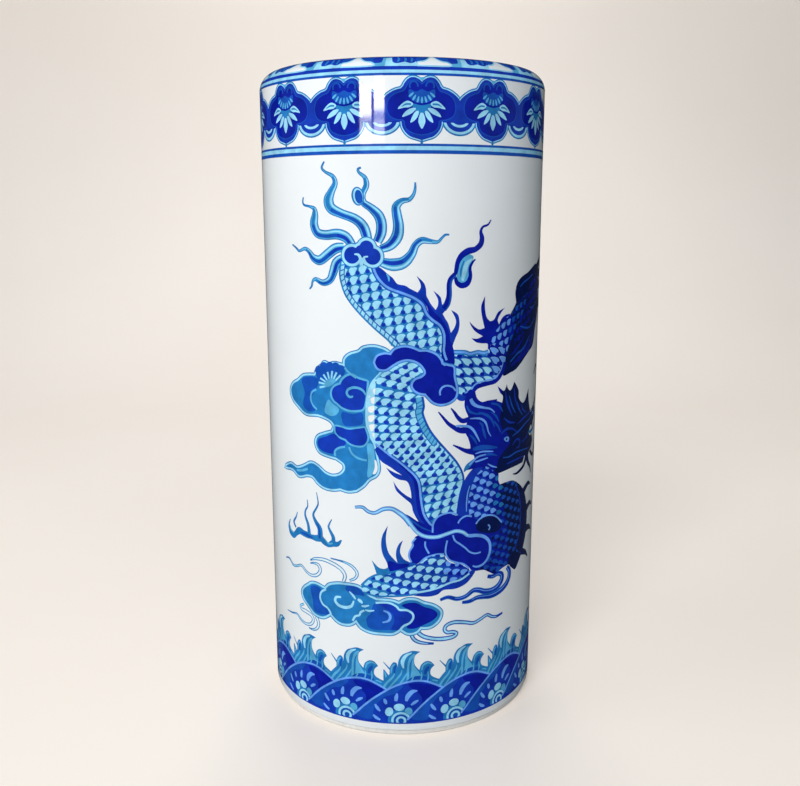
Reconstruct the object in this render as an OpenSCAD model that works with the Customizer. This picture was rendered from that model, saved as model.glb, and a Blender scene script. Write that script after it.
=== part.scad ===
// Slim porcelain pot for writing and painting brushes, glazed white and printed in cobalt blue.
// A dragon among clouds fills the wall, above a wave border and under a collar of medallions.
// Millimetres, +Z up. The foot stands on Z = 0 and the front of the pot faces -Y.
// The print is drawn flat: u runs around the wall to the right of the front, v runs up the wall.

/* [Pot] */
// Height from the table to the top of the lip
pot_h = 136; // [118:1:160]
// Outside diameter over the glaze
pot_d = 60; // [50:1:76]
// Thickness of the wall with both glazes
wall_t = 4.5; // [3.5:0.1:7]
// Radius of the outer edge of the lip
lip_round = 3.8; // [1.5:0.1:4.5]
// Height of the lip ring below the top of the lip
lip_ring_h = 6; // [5:0.5:10]

/* [Base] */
// Height of the bare foot ring
foot_h = 2; // [1.6:0.1:4]
// Width of the foot ring beyond the bore, as a ledge under the floor
foot_ledge = 1.4; // [0.8:0.1:3]
// Bevel on the lower outer edge of the foot ring
foot_bevel = 0.45; // [0.1:0.05:0.8]
// Thickness of the floor without its glaze
floor_t = 4.6; // [3:0.1:8]

/* [Glaze] */
// Thickness of the glaze
glaze_t = 0.4; // [0.25:0.05:0.6]
// Height of the bare edge below the outer glaze
glaze_stop = 1.2; // [0.8:0.1:1.5]

/* [Print] */
// Thickness of the printed films
film_t = 0.12; // [0.1:0.01:0.2]
// Height of the plain white band under the waves
plain_band = 2.8; // [2:0.1:5]
// Number of waves around the foot
wave_count = 16; // [12:1:18]
// Height of the solid part of the waves above the plain band
wave_band_h = 5.4; // [4:0.1:7]
// Height of the whole wave border, crests included
wave_border_h = 17; // [14:0.5:20]
// Number of medallions around the collar
medallion_count = 13; // [10:1:14]
// Height of the collar from its lowest line up to where the lip starts to round
collar_h = 13.6; // [12.6:0.2:16]
// Width of the thick collar lines
thick_line = 0.6; // [0.3:0.05:1]
// Width of the thin collar lines
thin_line = 0.3; // [0.2:0.05:0.5]
// Gap between a thick collar line and its thin neighbour
line_gap = 0.7; // [0.4:0.05:1]
// White left between the dragon print and the borders above and below it
field_margin = 0.6; // [0.3:0.1:3]

/* [Hidden] */
$fn = 96;

porcelain = "#efece4";
white_glaze = "#f3f4f2";
cobalt = "#1f35b8";
mid_blue = "#2f7cc0";

glaze_r = pot_d / 2;
bisque_r = glaze_r - glaze_t;
bore_r = glaze_r - wall_t;
bisque_bore_r = bore_r + glaze_t;
foot_inner_r = bisque_bore_r - foot_ledge;
floor_top = foot_h + floor_t;
lip_outer = min(lip_round, wall_t - 2 * glaze_t);
lip_inner = wall_t - lip_outer;
crest_r = glaze_r - lip_outer;
lip_start = pot_h - lip_outer;
lip_ring_low = pot_h - lip_ring_h;
film_r = glaze_r + film_t;
overcut = 1;

collar_low = lip_start - collar_h;
wave_top = plain_band + wave_border_h;

// The dragon sheet was drawn for a wall of this radius, between these two heights
sheet_r = 30;
sheet_low = 20;
sheet_high = 118;
sheet_middle_u = 5;
field_low = wave_top + field_margin;
field_high = collar_low - field_margin;
// Steps between two drawn points of a curve
curve_steps = 2;

// Drawing on the flat sheet

function angle_of(u) = u / sheet_r * 180 / PI;
function height_of(v) = field_low + (v - sheet_low) / (sheet_high - sheet_low) * (field_high - field_low);
function lay(p) = [film_r * sin(angle_of(p.x - sheet_middle_u)), height_of(p.y)];

function blend(a, b, c, d, t) =
    (2 * b + (c - a) * t + (2 * a - 5 * b + 4 * c - d) * t ^ 2 + (3 * b - a - 3 * c + d) * t ^ 3) / 2;
function held(p, i) = p[max(0, min(len(p) - 1, i))];
function turned(p, i) = p[(i + len(p)) % len(p)];
function open_curve(p) = concat(
    [for (i = [0:len(p) - 2], k = [0:curve_steps - 1])
        blend(held(p, i - 1), p[i], held(p, i + 1), held(p, i + 2), k / curve_steps)],
    [p[len(p) - 1]]
);
function closed_curve(p) = [
    for (i = [0:len(p) - 1], k = [0:curve_steps - 1])
        blend(turned(p, i - 1), p[i], turned(p, i + 1), turned(p, i + 2), k / curve_steps)
];
function side_step(q, i) =
    let (along = held(q, i + 1) - held(q, i - 1), across = [-along.y, along.x])
    across / norm(across) * q[i].z / 2;
function edge(q, side) = [for (i = [0:len(q) - 1]) [q[i].x, q[i].y] + side * side_step(q, i)];
function reversed(p) = [for (i = [len(p) - 1:-1:0]) p[i]];

// A closed patch with a smooth outline through its points
module patch(points) {
    polygon([for (p = closed_curve(points)) lay(p)]);
}

// A closed patch with straight sides, for spikes
module spike(points) {
    polygon([for (p = points) lay(p)]);
}

// A brush stroke through points [u, v, width]
module brush(points) {
    q = open_curve(points);
    outline = concat(edge(q, 1), reversed(edge(q, -1)));
    polygon([for (p = outline) lay(p)]);
}

// A round dot of radius r at a sheet place
module dot(u, v, r) {
    translate(lay([u, v])) circle(r);
}

// Carries a flat drawing onto the wall, with its middle at the given angle
module on_wall(turn, low, high) {
    intersection() {
        ring(glaze_r, film_r, low, high);
        rotate([0, 0, turn]) rotate([90, 0, 0]) linear_extrude(film_r + overcut) children();
    }
}

module ring(r_in, r_out, low, high) {
    rotate_extrude() translate([r_in, low]) square([r_out - r_in, high - low]);
}

// Outline of the wall's section between two radii, rounded at the lip
module lip_section(outer_round, inner_round, low) {
    translate([crest_r - inner_round, low])
        square([inner_round + outer_round, lip_start - low]);
    intersection() {
        translate([crest_r, lip_start]) circle(outer_round);
        translate([crest_r, lip_start]) square(outer_round);
    }
    translate([crest_r - inner_round, lip_start])
        square([inner_round, outer_round - inner_round]);
    intersection() {
        translate([crest_r, lip_start + outer_round - inner_round]) circle(inner_round);
        translate([crest_r - inner_round, lip_start + outer_round - inner_round]) square(inner_round);
    }
}

// Porcelain and glaze

module foot_ring() {
    color(porcelain) rotate_extrude() polygon([
        [foot_inner_r, 0],
        [bisque_r - foot_bevel, 0],
        [bisque_r, foot_bevel],
        [bisque_r, foot_h],
        [foot_inner_r, foot_h]
    ]);
}

module base_slab() {
    color(porcelain) translate([0, 0, foot_h]) cylinder(h = floor_t, r = bisque_bore_r);
}

module body_wall() {
    color(porcelain) ring(bisque_bore_r, bisque_r, foot_h, lip_ring_low);
}

module lip_ring() {
    color(porcelain)
        rotate_extrude() lip_section(lip_outer - glaze_t, lip_inner - glaze_t, lip_ring_low);
}

// Glaze over the outside of the wall, up to the crest of the lip
module outer_glaze() {
    color(white_glaze) rotate_extrude() {
        translate([bisque_r, glaze_stop]) square([glaze_t, lip_start - glaze_stop]);
        intersection() {
            difference() {
                translate([crest_r, lip_start]) circle(lip_outer);
                translate([crest_r, lip_start]) circle(lip_outer - glaze_t);
            }
            translate([crest_r, lip_start]) square(lip_outer);
        }
    }
}

// Glaze over the floor and the bore, up to the crest of the lip
module inner_glaze() {
    arc_z = pot_h - lip_inner;
    color(white_glaze) {
        translate([0, 0, floor_top]) cylinder(h = glaze_t, r = bisque_bore_r);
        rotate_extrude() {
            translate([bore_r, floor_top]) square([glaze_t, arc_z - floor_top]);
            intersection() {
                difference() {
                    translate([crest_r, arc_z]) circle(lip_inner);
                    translate([crest_r, arc_z]) circle(lip_inner - glaze_t);
                }
                translate([crest_r - lip_inner, arc_z]) square(lip_inner);
            }
        }
    }
}

module base_glaze() {
    color(white_glaze) translate([0, 0, foot_h - glaze_t]) cylinder(h = glaze_t, r = foot_inner_r);
}

// Borders

// Dark band over the round of the lip, with a white triangle above each medallion
module lip_transfer() {
    band_start = 17;
    band_end = 74;
    triangle_half_w = 3.1;
    triangle_low = lip_start + (lip_outer + film_t) * sin(33);
    triangle_high = lip_start + (lip_outer + film_t) * sin(62);
    reach = lip_outer + overcut;
    color(cobalt) difference() {
        rotate_extrude() translate([crest_r, lip_start]) intersection() {
            difference() {
                circle(lip_outer + film_t);
                circle(lip_outer);
            }
            polygon([
                [0, 0],
                reach * 2 * [cos(band_start), sin(band_start)],
                reach * 2 * [cos(band_end), sin(band_end)]
            ]);
        }
        for (i = [0:medallion_count - 1])
            rotate([0, 0, medallion_turn(i)]) rotate([90, 0, 0]) linear_extrude(film_r + overcut)
                polygon([[-triangle_half_w, triangle_low], [triangle_half_w, triangle_low], [0, triangle_high]]);
    }
}

medallion_first_u = 3.1;
function medallion_turn(i) = angle_of(medallion_first_u) + 360 * i / medallion_count;

// Lobed hanging medallion about its middle
module medallion() {
    lobe_up = 3.5;
    lobe_side = 4;
    lobe_down = 3.2;
    for (side = [-1, 1]) {
        translate([side * 1.7, lobe_up]) circle(1.6);
        translate([side * lobe_side, 0]) circle(2.8);
    }
    circle(3.6);
    translate([0, -lobe_down]) circle(2.6);
}

// Rainbow arcs between two medallions
module arcs() {
    difference() {
        circle(2.75);
        circle(2.2);
    }
    circle(1.5);
}

module collar_transfer() {
    middle = collar_low + 8.5;
    arcs_below = 2.8;
    pair_w = thick_line + line_gap + thin_line;
    color(cobalt) {
        ring(glaze_r, film_r, collar_low, collar_low + thick_line);
        ring(glaze_r, film_r, collar_low + pair_w - thin_line, collar_low + pair_w);
        ring(glaze_r, film_r, lip_start - thin_line, lip_start);
        for (i = [0:medallion_count - 1]) {
            on_wall(medallion_turn(i), collar_low, lip_start)
                translate([0, middle]) medallion();
            on_wall(medallion_turn(i + 0.5), collar_low, lip_start)
                translate([0, middle - arcs_below]) arcs();
        }
    }
}

// One wave of the border: a round hump under a curling crest
module wave() {
    half_w = film_r * sin(180 / wave_count);
    hump_rise = 4.6;
    hump_low = plain_band + wave_band_h - film_t;
    hump_r = (half_w ^ 2 + hump_rise ^ 2) / (2 * hump_rise);
    hump_top = hump_low + hump_rise;
    crest_rise = wave_top - hump_top;
    intersection() {
        translate([0, hump_top - hump_r]) circle(hump_r);
        translate([-half_w, hump_low]) square([2 * half_w, hump_rise]);
    }
    foam = [
        [-5, -0.06], [-5, 0.2], [-4, 0.5], [-3.1, 0.42], [-2.7, 0.6], [-1, 0.92], [0.6, 0.97],
        [0.2, 0.72], [0.8, 0.45], [2.4, 0.6], [3.8, 0.46], [3.2, 0.14], [2.6, -0.1], [-1, -0.2]
    ];
    polygon(closed_curve([for (p = foam) [p.x, hump_top + p.y * crest_rise]]));
}

module wave_transfer() {
    first_u = 2.5;
    color(mid_blue) {
        ring(glaze_r, film_r, plain_band, plain_band + wave_band_h);
        for (i = [0:wave_count - 1])
            on_wall(angle_of(first_u) + 360 * i / wave_count, plain_band, wave_top) wave();
    }
}

// Dragon sheet

// Seven flames that stream from the end of the tail, and the knot they spring from
module tail_flames() {
    brush([[-7, 102, 1.2], [-7.6, 105.3, 1.6], [-9.4, 107, 1.8], [-12.2, 107.8, 1.6], [-14.6, 109, 2],
        [-14.8, 110.8, 1.9], [-13.7, 112.8, 1.2], [-14.2, 114.9, 0.7], [-16.2, 116.1, 0.5], [-15.8, 117.4, 0.3]]);
    brush([[-10, 101.5, 1.6], [-11.6, 103.6, 2], [-15.2, 103.9, 1.7], [-17.8, 104.4, 1.8], [-18.4, 106.4, 1.8],
        [-18.4, 108.5, 1], [-20.6, 109.4, 0.4], [-21.1, 110.9, 0.3]]);
    brush([[-11.5, 101.2, 1.6], [-14.4, 100.8, 1.9], [-17.2, 99, 1.7], [-19.6, 100.3, 1], [-21.2, 101, 0.6],
        [-22.8, 100.6, 0.5], [-24.7, 101.8, 0.3]]);
    brush([[-12, 99.6, 1.5], [-13.8, 98.2, 1.8], [-14.8, 95.5, 1.5], [-16.8, 94.7, 1.1], [-18.6, 95.2, 0.7],
        [-19.9, 93.3, 0.3]]);
    brush([[-5.2, 102, 1.6], [-4.4, 105, 1.9], [-5.2, 107.9, 1.8], [-8, 109.6, 1.6], [-9, 111, 1.6],
        [-7.4, 113, 1.1], [-8.2, 115, 0.6], [-8.2, 116.2, 0.3]]);
    brush([[-4.6, 101.2, 1.4], [-2, 102.8, 2], [-1.2, 105.6, 2], [-1.6, 108.8, 1.6], [0.4, 110.2, 0.9],
        [1.7, 111.6, 0.6], [1.9, 113.6, 0.3]]);
    brush([[-4.4, 99, 1.6], [-1.4, 98.5, 2.2], [1, 100.1, 1.7], [2.4, 102.4, 1.2], [5, 102.7, 0.8],
        [6.8, 103.2, 0.5], [8.4, 103.9, 0.3]]);
    dot(-10.1, 100.1, 2.2);
    dot(-7.2, 101.3, 2.1);
    dot(-5.4, 99.6, 2);
    dot(-8, 99, 2);
}

// Tail end of the body with its spiked fin
module tail() {
    patch([[-12.5, 98.2], [-12.3, 95], [-10.6, 91], [-6.4, 86.8], [-1.5, 82.6], [4, 81.6], [9.3, 81.6],
        [10, 84.5], [8.2, 87.6], [5.8, 90.2], [3.4, 92.8], [0, 94.4], [-3, 96.4], [-5, 98.4], [-8.6, 99]]);
    spike([[1, 93.4], [3.3, 94.6], [2.2, 96.3], [3.8, 94.8], [4.4, 91.6]]);
    spike([[5, 90.6], [6.4, 91.6], [5.3, 93.5], [7, 91.8], [7.4, 88.2]]);
    spike([[8.6, 86.4], [10, 87.4], [9, 89.6], [10.7, 87.8], [10.2, 84]]);
    brush([[6.4, 88.8, 0.8], [8.3, 91.2, 0.9], [8.6, 94.6, 0.9], [10, 98.3, 1.2], [12, 100.7, 1.4],
        [14.9, 102, 1.2], [15.3, 104.6, 0.7], [17.6, 106.6, 0.3]]);
    brush([[9.3, 96.6, 0.6], [10.3, 94.6, 1], [12.4, 94.8, 1.1], [13.1, 97.2, 0.9], [14.1, 99.1, 0.4]]);
}

// Trunk of the body, the cloud behind it and the spines down its back
module trunk() {
    patch([[-5.8, 80], [-2.8, 81.4], [0.4, 82.8], [6.4, 81], [9.6, 79], [10.4, 74.4], [9.8, 71.8], [7, 71.3],
        [4.2, 73], [3.6, 70], [5, 65.6], [8.6, 61.6], [11.8, 57.4], [11.6, 52.6], [10.8, 48.4], [5.6, 46],
        [2.6, 48], [1.4, 52], [0.4, 56.2], [-2.8, 59.2], [-6, 62], [-6.4, 68], [-6.2, 74], [-5, 77.4]]);
    spike([[0.4, 55.6], [-3.6, 58.6], [0, 57.4]]);
    spike([[1.6, 51.4], [-0.8, 53.6], [-2.3, 55.8], [1.2, 53.4]]);
}

// Hind quarter that rises to the right, with its spines
module hind_quarter() {
    patch([[9.4, 81.4], [14.5, 81.6], [17.6, 82.6], [20.4, 86.4], [24.6, 90.4], [28, 96], [33, 97.6],
        [36.5, 95.5], [33.5, 91], [28.4, 86.4], [24, 81.6], [21.8, 77.4], [19.6, 75], [14.6, 73.4],
        [11.6, 72.4], [10.2, 76]]);
    spike([[16.2, 82.4], [16, 88], [15.6, 90.4], [16.5, 92], [16.7, 89.6], [19, 85.2]]);
    spike([[18, 85.6], [19.6, 88.2], [21.9, 89.4], [20.4, 87.6], [20.4, 86]]);
    spike([[17.4, 83.2], [14.6, 84.9], [12.9, 87.2], [15.2, 86], [17.4, 85.6]]);
    brush([[35, 96.4, 2.2], [38.5, 97.4, 1.6], [41, 99.6, 1], [42.4, 102.4, 0.4]]);
    brush([[35.4, 95.4, 2], [39.2, 95, 1.5], [42.6, 96, 0.9], [44.6, 98, 0.4]]);
    brush([[34.6, 94, 2], [38, 92, 1.5], [41.4, 91.4, 0.9], [44, 92, 0.4]]);
}

// Head that looks to the right, with horn, mane, whiskers and the neck under it
module head() {
    patch([[17, 62], [18.6, 67.4], [22, 70.6], [26, 71.2], [29.4, 69], [33.4, 68.8], [37.4, 70.4], [39.6, 68.6],
        [38.8, 65.8], [35.4, 65], [31.6, 64.4], [33.6, 61.8], [36.8, 60.8], [35.6, 58.2], [31, 57.6],
        [26.6, 57.4], [22, 56.6], [18, 57.6]]);
    brush([[24, 69.4, 1.6], [22, 73.6, 1.2], [22.6, 78, 0.8], [25.6, 81, 0.3]]);
    brush([[26.6, 70, 1.5], [26.2, 74.4, 1.1], [28.6, 78.4, 0.4]]);
    brush([[37.6, 68.8, 0.9], [41, 71.6, 0.8], [41.4, 76, 0.7], [38, 78.6, 0.5], [36.4, 76.2, 0.3]]);
    brush([[19, 64, 2.4], [15, 62.4, 1.6], [12, 65, 1.3], [9, 67, 1], [6.7, 69.6, 0.3]]);
    brush([[19, 66, 2], [16.6, 67.2, 1.3], [13, 67.8, 1.2], [10.4, 68.6, 0.9], [9.2, 70.2, 0.3]]);
    brush([[20.4, 69, 1.6], [16.6, 69.3, 1.1], [14.2, 70.2, 0.8], [12.6, 72, 0.3]]);
    brush([[19, 60.6, 2], [16, 61.4, 1.2], [13, 61, 0.9], [9.8, 62.7, 0.3]]);
    patch([[14.2, 57.6], [18, 58.4], [24, 57.6], [27.4, 52], [27.6, 44], [25.4, 36], [22.4, 33.4], [19.6, 36.6],
        [20, 42.4], [17, 46.8], [12.6, 47.6], [12.6, 53]]);
}

// Foreleg that reaches to the left along the foot of the field, with its spines
module foreleg() {
    patch([[-9, 33.4], [-6.4, 35.8], [-2, 37.2], [3, 38.6], [8, 40], [13, 38.4], [18.6, 38.4], [21.6, 35.4],
        [14.5, 34.4], [8, 32.4], [2, 31.2], [-4, 31], [-8.6, 31.6]]);
    spike([[-4.6, 36.6], [-4.4, 41.6], [-3.4, 46.5], [-3.4, 41.6], [-1.2, 37.6]]);
    spike([[-1.8, 37.6], [-1.6, 41], [-0.5, 43.4], [-0.6, 40.6], [0.8, 38.2]]);
    spike([[-6, 36], [-6.5, 39], [-4.2, 37.6], [-3, 36.8]]);
}

// Cloud bank under the trunk, with the trailing band that crosses it
module low_cloud() {
    patch([[2.2, 44], [4.6, 45.6], [6.2, 47.8], [9, 48.9], [11.4, 47.4], [13.6, 47.8], [16, 46.4], [18.6, 47],
        [21.4, 45.4], [22.2, 42], [19.2, 40.6], [18.4, 37.2], [12, 37.4], [5, 39], [1.8, 38.6], [0.8, 41]]);
    brush([[-10.2, 50, 0.3], [-6, 49.2, 0.6], [-2.8, 50.2, 0.8], [0.2, 48.2, 1], [3.6, 45, 1.2]]);
}

// Cloud bank to the left of the trunk, with its long trailing end
module left_cloud() {
    patch([[-26.5, 72.3], [-24.4, 74.6], [-21.4, 76.2], [-18.8, 76.6], [-16.8, 78.8], [-13.8, 79.1],
        [-11.4, 79.6], [-9.6, 81.6], [-6, 82.8], [-3.4, 81.6], [-5.6, 79.2], [-7.4, 76.2], [-7.8, 70.4],
        [-7.2, 64.6], [-8, 61.6], [-11.6, 62.2], [-15, 60.4], [-18.2, 60.7], [-19.3, 62.7], [-17.2, 64.5],
        [-14.9, 66.2], [-15.8, 67.8], [-21.2, 67.9], [-25.4, 69.9]]);
    patch([[-7.4, 61.8], [-7.4, 58], [-8.2, 54.9], [-10.3, 53.3], [-15.4, 53.1], [-18.4, 53.6], [-20.8, 55.2],
        [-24.6, 54.2], [-29.6, 55.2], [-25.2, 56.2], [-20.4, 58.2], [-15.3, 56.5], [-12.6, 58.4],
        [-13.8, 60.2], [-11, 62]]);
}

// Cloud bank at the lower left
module lower_left_cloud() {
    patch([[-24.2, 28.4], [-22, 31], [-18.6, 31.4], [-16.4, 32.4], [-12.8, 33], [-9.2, 31.2], [-5.6, 30.6],
        [-1.2, 30], [2, 30.8], [5, 29.4], [7.5, 27.4], [5.8, 25.2], [2.6, 24], [-1, 23.8], [-5, 23.5],
        [-9, 24.4], [-13.6, 24.7], [-19.4, 24.6], [-22.6, 26.2]]);
}

// Small flame that drifts at the left
module drifting_flame() {
    brush([[-28.3, 43.8, 0.3], [-28.5, 41.6, 0.8], [-26.6, 40.6, 1], [-25, 42, 1.1], [-21.4, 41.8, 1.2],
        [-17.2, 41, 1], [-13.3, 42.4, 0.3]]);
    brush([[-25.8, 42.2, 0.8], [-26.4, 43.8, 0.7], [-25.4, 46, 0.3]]);
    brush([[-21.6, 42, 0.9], [-22.7, 46.2, 0.8], [-21.9, 48, 0.5], [-22, 49.6, 0.3]]);
    brush([[-18.9, 41.4, 1.3], [-18.8, 44.2, 1.2], [-20.2, 46.8, 0.9], [-18.9, 49.4, 0.6], [-19.3, 51.7, 0.3]]);
    brush([[-15.6, 41, 0.9], [-15.5, 43.2, 0.8], [-16.4, 45, 0.6], [-15.5, 46.7, 0.3]]);
}

// Thin trails of cloud along the foot of the field
module trails() {
    brush([[-30, 34.7, 0.3], [-27.4, 33.7, 0.6], [-24.6, 34.4, 0.6], [-21.6, 33.2, 0.7], [-19, 34.6, 0.8],
        [-21, 36.2, 0.4]]);
    brush([[-21.4, 36.8, 0.4], [-17.6, 37.5, 0.8], [-13.4, 36.3, 0.8], [-13, 33.4, 0.5]]);
    brush([[-29, 22.2, 0.3], [-26.6, 22.7, 0.6], [-23.6, 21.5, 0.7], [-21, 22.8, 0.7], [-24.6, 24.2, 0.6]]);
    brush([[7.3, 30.2, 0.4], [11.6, 29.8, 0.7], [15.6, 31, 0.8], [20.4, 29.8, 0.8], [25.4, 30.5, 0.4]]);
    brush([[2.8, 23.2, 0.4], [6.4, 21.7, 0.6], [10.8, 22, 0.7], [8.4, 23.6, 0.6], [13, 24.3, 0.7],
        [18, 24.7, 0.6], [23.2, 23.6, 0.3]]);
}

module dragon_sheet(turn) {
    on_wall(turn + angle_of(sheet_middle_u), field_low, field_high) {
        tail_flames();
        tail();
        trunk();
        hind_quarter();
        head();
        foreleg();
        low_cloud();
        left_cloud();
        lower_left_cloud();
        drifting_flame();
        trails();
    }
}

module dragon_transfer_front() {
    color(cobalt) dragon_sheet(0);
}

module dragon_transfer_back() {
    color(cobalt) dragon_sheet(180);
}

foot_ring();
base_slab();
body_wall();
lip_ring();
outer_glaze();
inner_glaze();
base_glaze();
lip_transfer();
collar_transfer();
wave_transfer();
dragon_transfer_front();
dragon_transfer_back();
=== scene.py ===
"""Looks of a porcelain brush pot: white glaze over a turned body, and a cobalt print around it.

The print is drawn flat in millimetres. u runs around the wall to the right of the front, v runs up
the wall and on around the lip. Later shapes cover earlier ones, and each tone becomes one thin film.
"""

import math

import bpy
import numpy as np
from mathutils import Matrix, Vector
from mathutils.geometry import delaunay_2d_cdt, tessellate_polygon


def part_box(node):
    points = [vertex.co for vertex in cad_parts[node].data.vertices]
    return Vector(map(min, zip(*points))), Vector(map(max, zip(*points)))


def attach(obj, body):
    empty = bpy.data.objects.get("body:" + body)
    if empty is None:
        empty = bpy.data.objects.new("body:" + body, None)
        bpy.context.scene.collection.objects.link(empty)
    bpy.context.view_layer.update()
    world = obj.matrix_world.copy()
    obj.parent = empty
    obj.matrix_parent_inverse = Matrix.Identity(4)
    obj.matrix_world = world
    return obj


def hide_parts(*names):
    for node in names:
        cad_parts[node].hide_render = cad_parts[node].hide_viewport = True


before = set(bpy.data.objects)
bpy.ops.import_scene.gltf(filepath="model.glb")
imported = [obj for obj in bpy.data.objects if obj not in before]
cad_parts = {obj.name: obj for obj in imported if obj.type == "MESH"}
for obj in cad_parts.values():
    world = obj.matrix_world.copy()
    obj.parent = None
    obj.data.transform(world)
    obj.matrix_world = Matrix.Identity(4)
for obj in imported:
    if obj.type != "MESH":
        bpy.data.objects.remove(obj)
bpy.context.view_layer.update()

# Sizes from the frame, in millimetres

MM = 0.001
WALL_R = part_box("outer_glaze")[1].x / MM
POT_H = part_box("outer_glaze")[1].z / MM
GLAZE_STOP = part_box("outer_glaze")[0].z / MM
BISQUE_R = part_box("body_wall")[1].x / MM
GLAZE_T = WALL_R - BISQUE_R
CREST_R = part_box("inner_glaze")[1].x / MM
LIP_R = WALL_R - CREST_R
LIP_START = POT_H - LIP_R
BORE_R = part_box("base_slab")[1].x / MM - GLAZE_T
LIP_INNER_R = CREST_R - BORE_R
FLOOR_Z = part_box("inner_glaze")[0].z / MM
FOOT_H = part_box("foot_ring")[1].z / MM
FOOT_INNER_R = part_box("base_glaze")[1].x / MM
GIRTH = 2 * math.pi * WALL_R

# Print: its gap to the glaze, the cuts that let it follow round walls, and how near points merge

LIFT = 0.02
GRID = 1.2
LIP_GRID = GRID / 4
GRID_MARGIN = 0.5
MERGE = 1e-4
DIGITS = 4

# Fineness of curves

TURN_STEPS = 288
CURVE_STEPS = 4
FINE_STEPS = 8
ARC_STEPS = 10
WALL_STEPS = 24
BODY_STEPS = 90
BELLY_STEPS = 60
LATTICE_REACH = 30

# Tones of the print, as they look on the pot in plain light. Ink is also painted shade, on the dragon's right
# side

INK_AND_PAINTED_SHADE, NAVY, ROYAL, BLUE, COBALT = "ink", "navy", "royal", "blue", "cobalt"
AZURE, IRIS, SKY, WHITE = "azure", "iris", "sky", "white"
TONE_COLOURS = {
    INK_AND_PAINTED_SHADE: (0.015, 0.085, 0.3),
    NAVY: (0.03, 0.1, 0.58),
    ROYAL: (0.065, 0.205, 0.655),
    BLUE: (0.075, 0.3, 0.675),
    COBALT: (0.13, 0.46, 0.715),
    AZURE: (0.33, 0.655, 0.825),
    IRIS: (0.4, 0.62, 0.93),
    SKY: (0.58, 0.82, 0.94),
}
GLAZE_COLOUR = (0.925, 0.94, 0.945)
BISQUE_COLOUR = (0.93, 0.92, 0.9)


def linear(colour):
    """Scene-linear RGBA of a display colour."""
    return [c / 12.92 if c <= 0.04045 else ((c + 0.055) / 1.055) ** 2.4 for c in colour] + [1.0]


# Curves on the flat sheet


def blend(a, b, c, d, t):
    """Point between b and c on a smooth curve through a, b, c and d."""
    return [
        (2 * q + (r - p) * t + (2 * p - 5 * q + 4 * r - s) * t * t + (3 * q - p - 3 * r + s) * t ** 3) / 2
        for p, q, r, s in zip(a, b, c, d)
    ]


def open_curve(points, steps=CURVE_STEPS):
    """Smooth curve through points, from the first to the last."""
    last = len(points) - 1
    curve = []
    for i in range(last):
        around = [points[min(max(k, 0), last)] for k in (i - 1, i, i + 1, i + 2)]
        curve += [blend(*around, k / steps) for k in range(steps)]
    return curve + [list(points[last])]


def closed_curve(points):
    """Smooth curve through points and back to the first."""
    count = len(points)
    curve = []
    for i in range(count):
        around = [points[(i + k) % count] for k in (-1, 0, 1, 2)]
        curve += [blend(*around, k / CURVE_STEPS) for k in range(CURVE_STEPS)]
    return curve


def outline(*runs):
    """Closed outline with sharp corners. Each smooth run goes on to the first point of the next."""
    points = []
    for run, after in zip(runs, runs[1:] + runs[:1]):
        whole = list(run) if run[-1] == after[0] else list(run) + [after[0]]
        points += open_curve(whole)[:-1]
    return points


def moved(points, du=0.0, dv=0.0, flip=1):
    """Points shifted by du and dv. A flip of -1 mirrors them first."""
    return [(flip * p[0] + du, p[1] + dv, *p[2:]) for p in points]


def ellipse(u, v, ru, rv, tilt=0.0, count=12):
    """Points around an ellipse, tilted in degrees."""
    turn = math.radians(tilt)
    points = []
    for i in range(count):
        a = 2 * math.pi * i / count
        x, y = ru * math.cos(a), rv * math.sin(a)
        points.append((u + x * math.cos(turn) - y * math.sin(turn),
                       v + x * math.sin(turn) + y * math.cos(turn)))
    return points


DROP = (
    (-1, 0), (-0.85, 0.6), (-0.4, 0.95), (0.15, 1), (0.7, 0.82), (1.08, 0.45), (0.68, 0.02), (0.36, -0.5),
    (0, -0.9), (-0.5, -1), (-0.88, -0.6),
)


def drop(u, v, ru, rv, tilt=0.0):
    """Shape of a scale, round with one drawn-out corner. A radius below zero flips it."""
    c, s = math.cos(math.radians(tilt)), math.sin(math.radians(tilt))
    return [(u + x * ru * c - y * rv * s, v + x * ru * s + y * rv * c) for x, y in DROP]


def evenly(points, count):
    """A smooth curve through points, as evenly spaced points."""
    line = open_curve(points, FINE_STEPS)
    lengths = [0.0]
    for a, b in zip(line, line[1:]):
        lengths.append(lengths[-1] + math.hypot(b[0] - a[0], b[1] - a[1]))
    spots, i = [], 0
    for k in range(count + 1):
        wanted = lengths[-1] * k / count
        while i < len(line) - 2 and lengths[i + 1] < wanted:
            i += 1
        t = (wanted - lengths[i]) / ((lengths[i + 1] - lengths[i]) or 1.0)
        spots.append((line[i][0] + t * (line[i + 1][0] - line[i][0]),
                      line[i][1] + t * (line[i + 1][1] - line[i][1])))
    return spots


def along_body(left, right, pitch, shear):
    """Places of scales in rows across a stretch of body that runs down between two edges."""
    pairs = list(zip(evenly(left, BODY_STEPS), evenly(right, BODY_STEPS)))
    middles = [((a[0] + b[0]) / 2, (a[1] + b[1]) / 2) for a, b in pairs]
    places, travelled, row = [], pitch[1] / 2, 0
    for i in range(1, len(pairs)):
        travelled += math.dist(middles[i], middles[i - 1])
        if travelled < pitch[1]:
            continue
        travelled -= pitch[1]
        (au, av), (bu, bv) = pairs[i]
        width = math.dist(*pairs[i])
        count = int(width / 2 / pitch[0]) + 2
        for column in range(-count, count + 1):
            t = (column + shear * row % 1.0) * pitch[0] / width
            spot = (middles[i][0] + (bu - au) * t, middles[i][1] + (bv - av) * t)
            places.append((*spot, math.degrees(math.atan2(bv - av, bu - au))))
        row += 1
    return places


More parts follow.
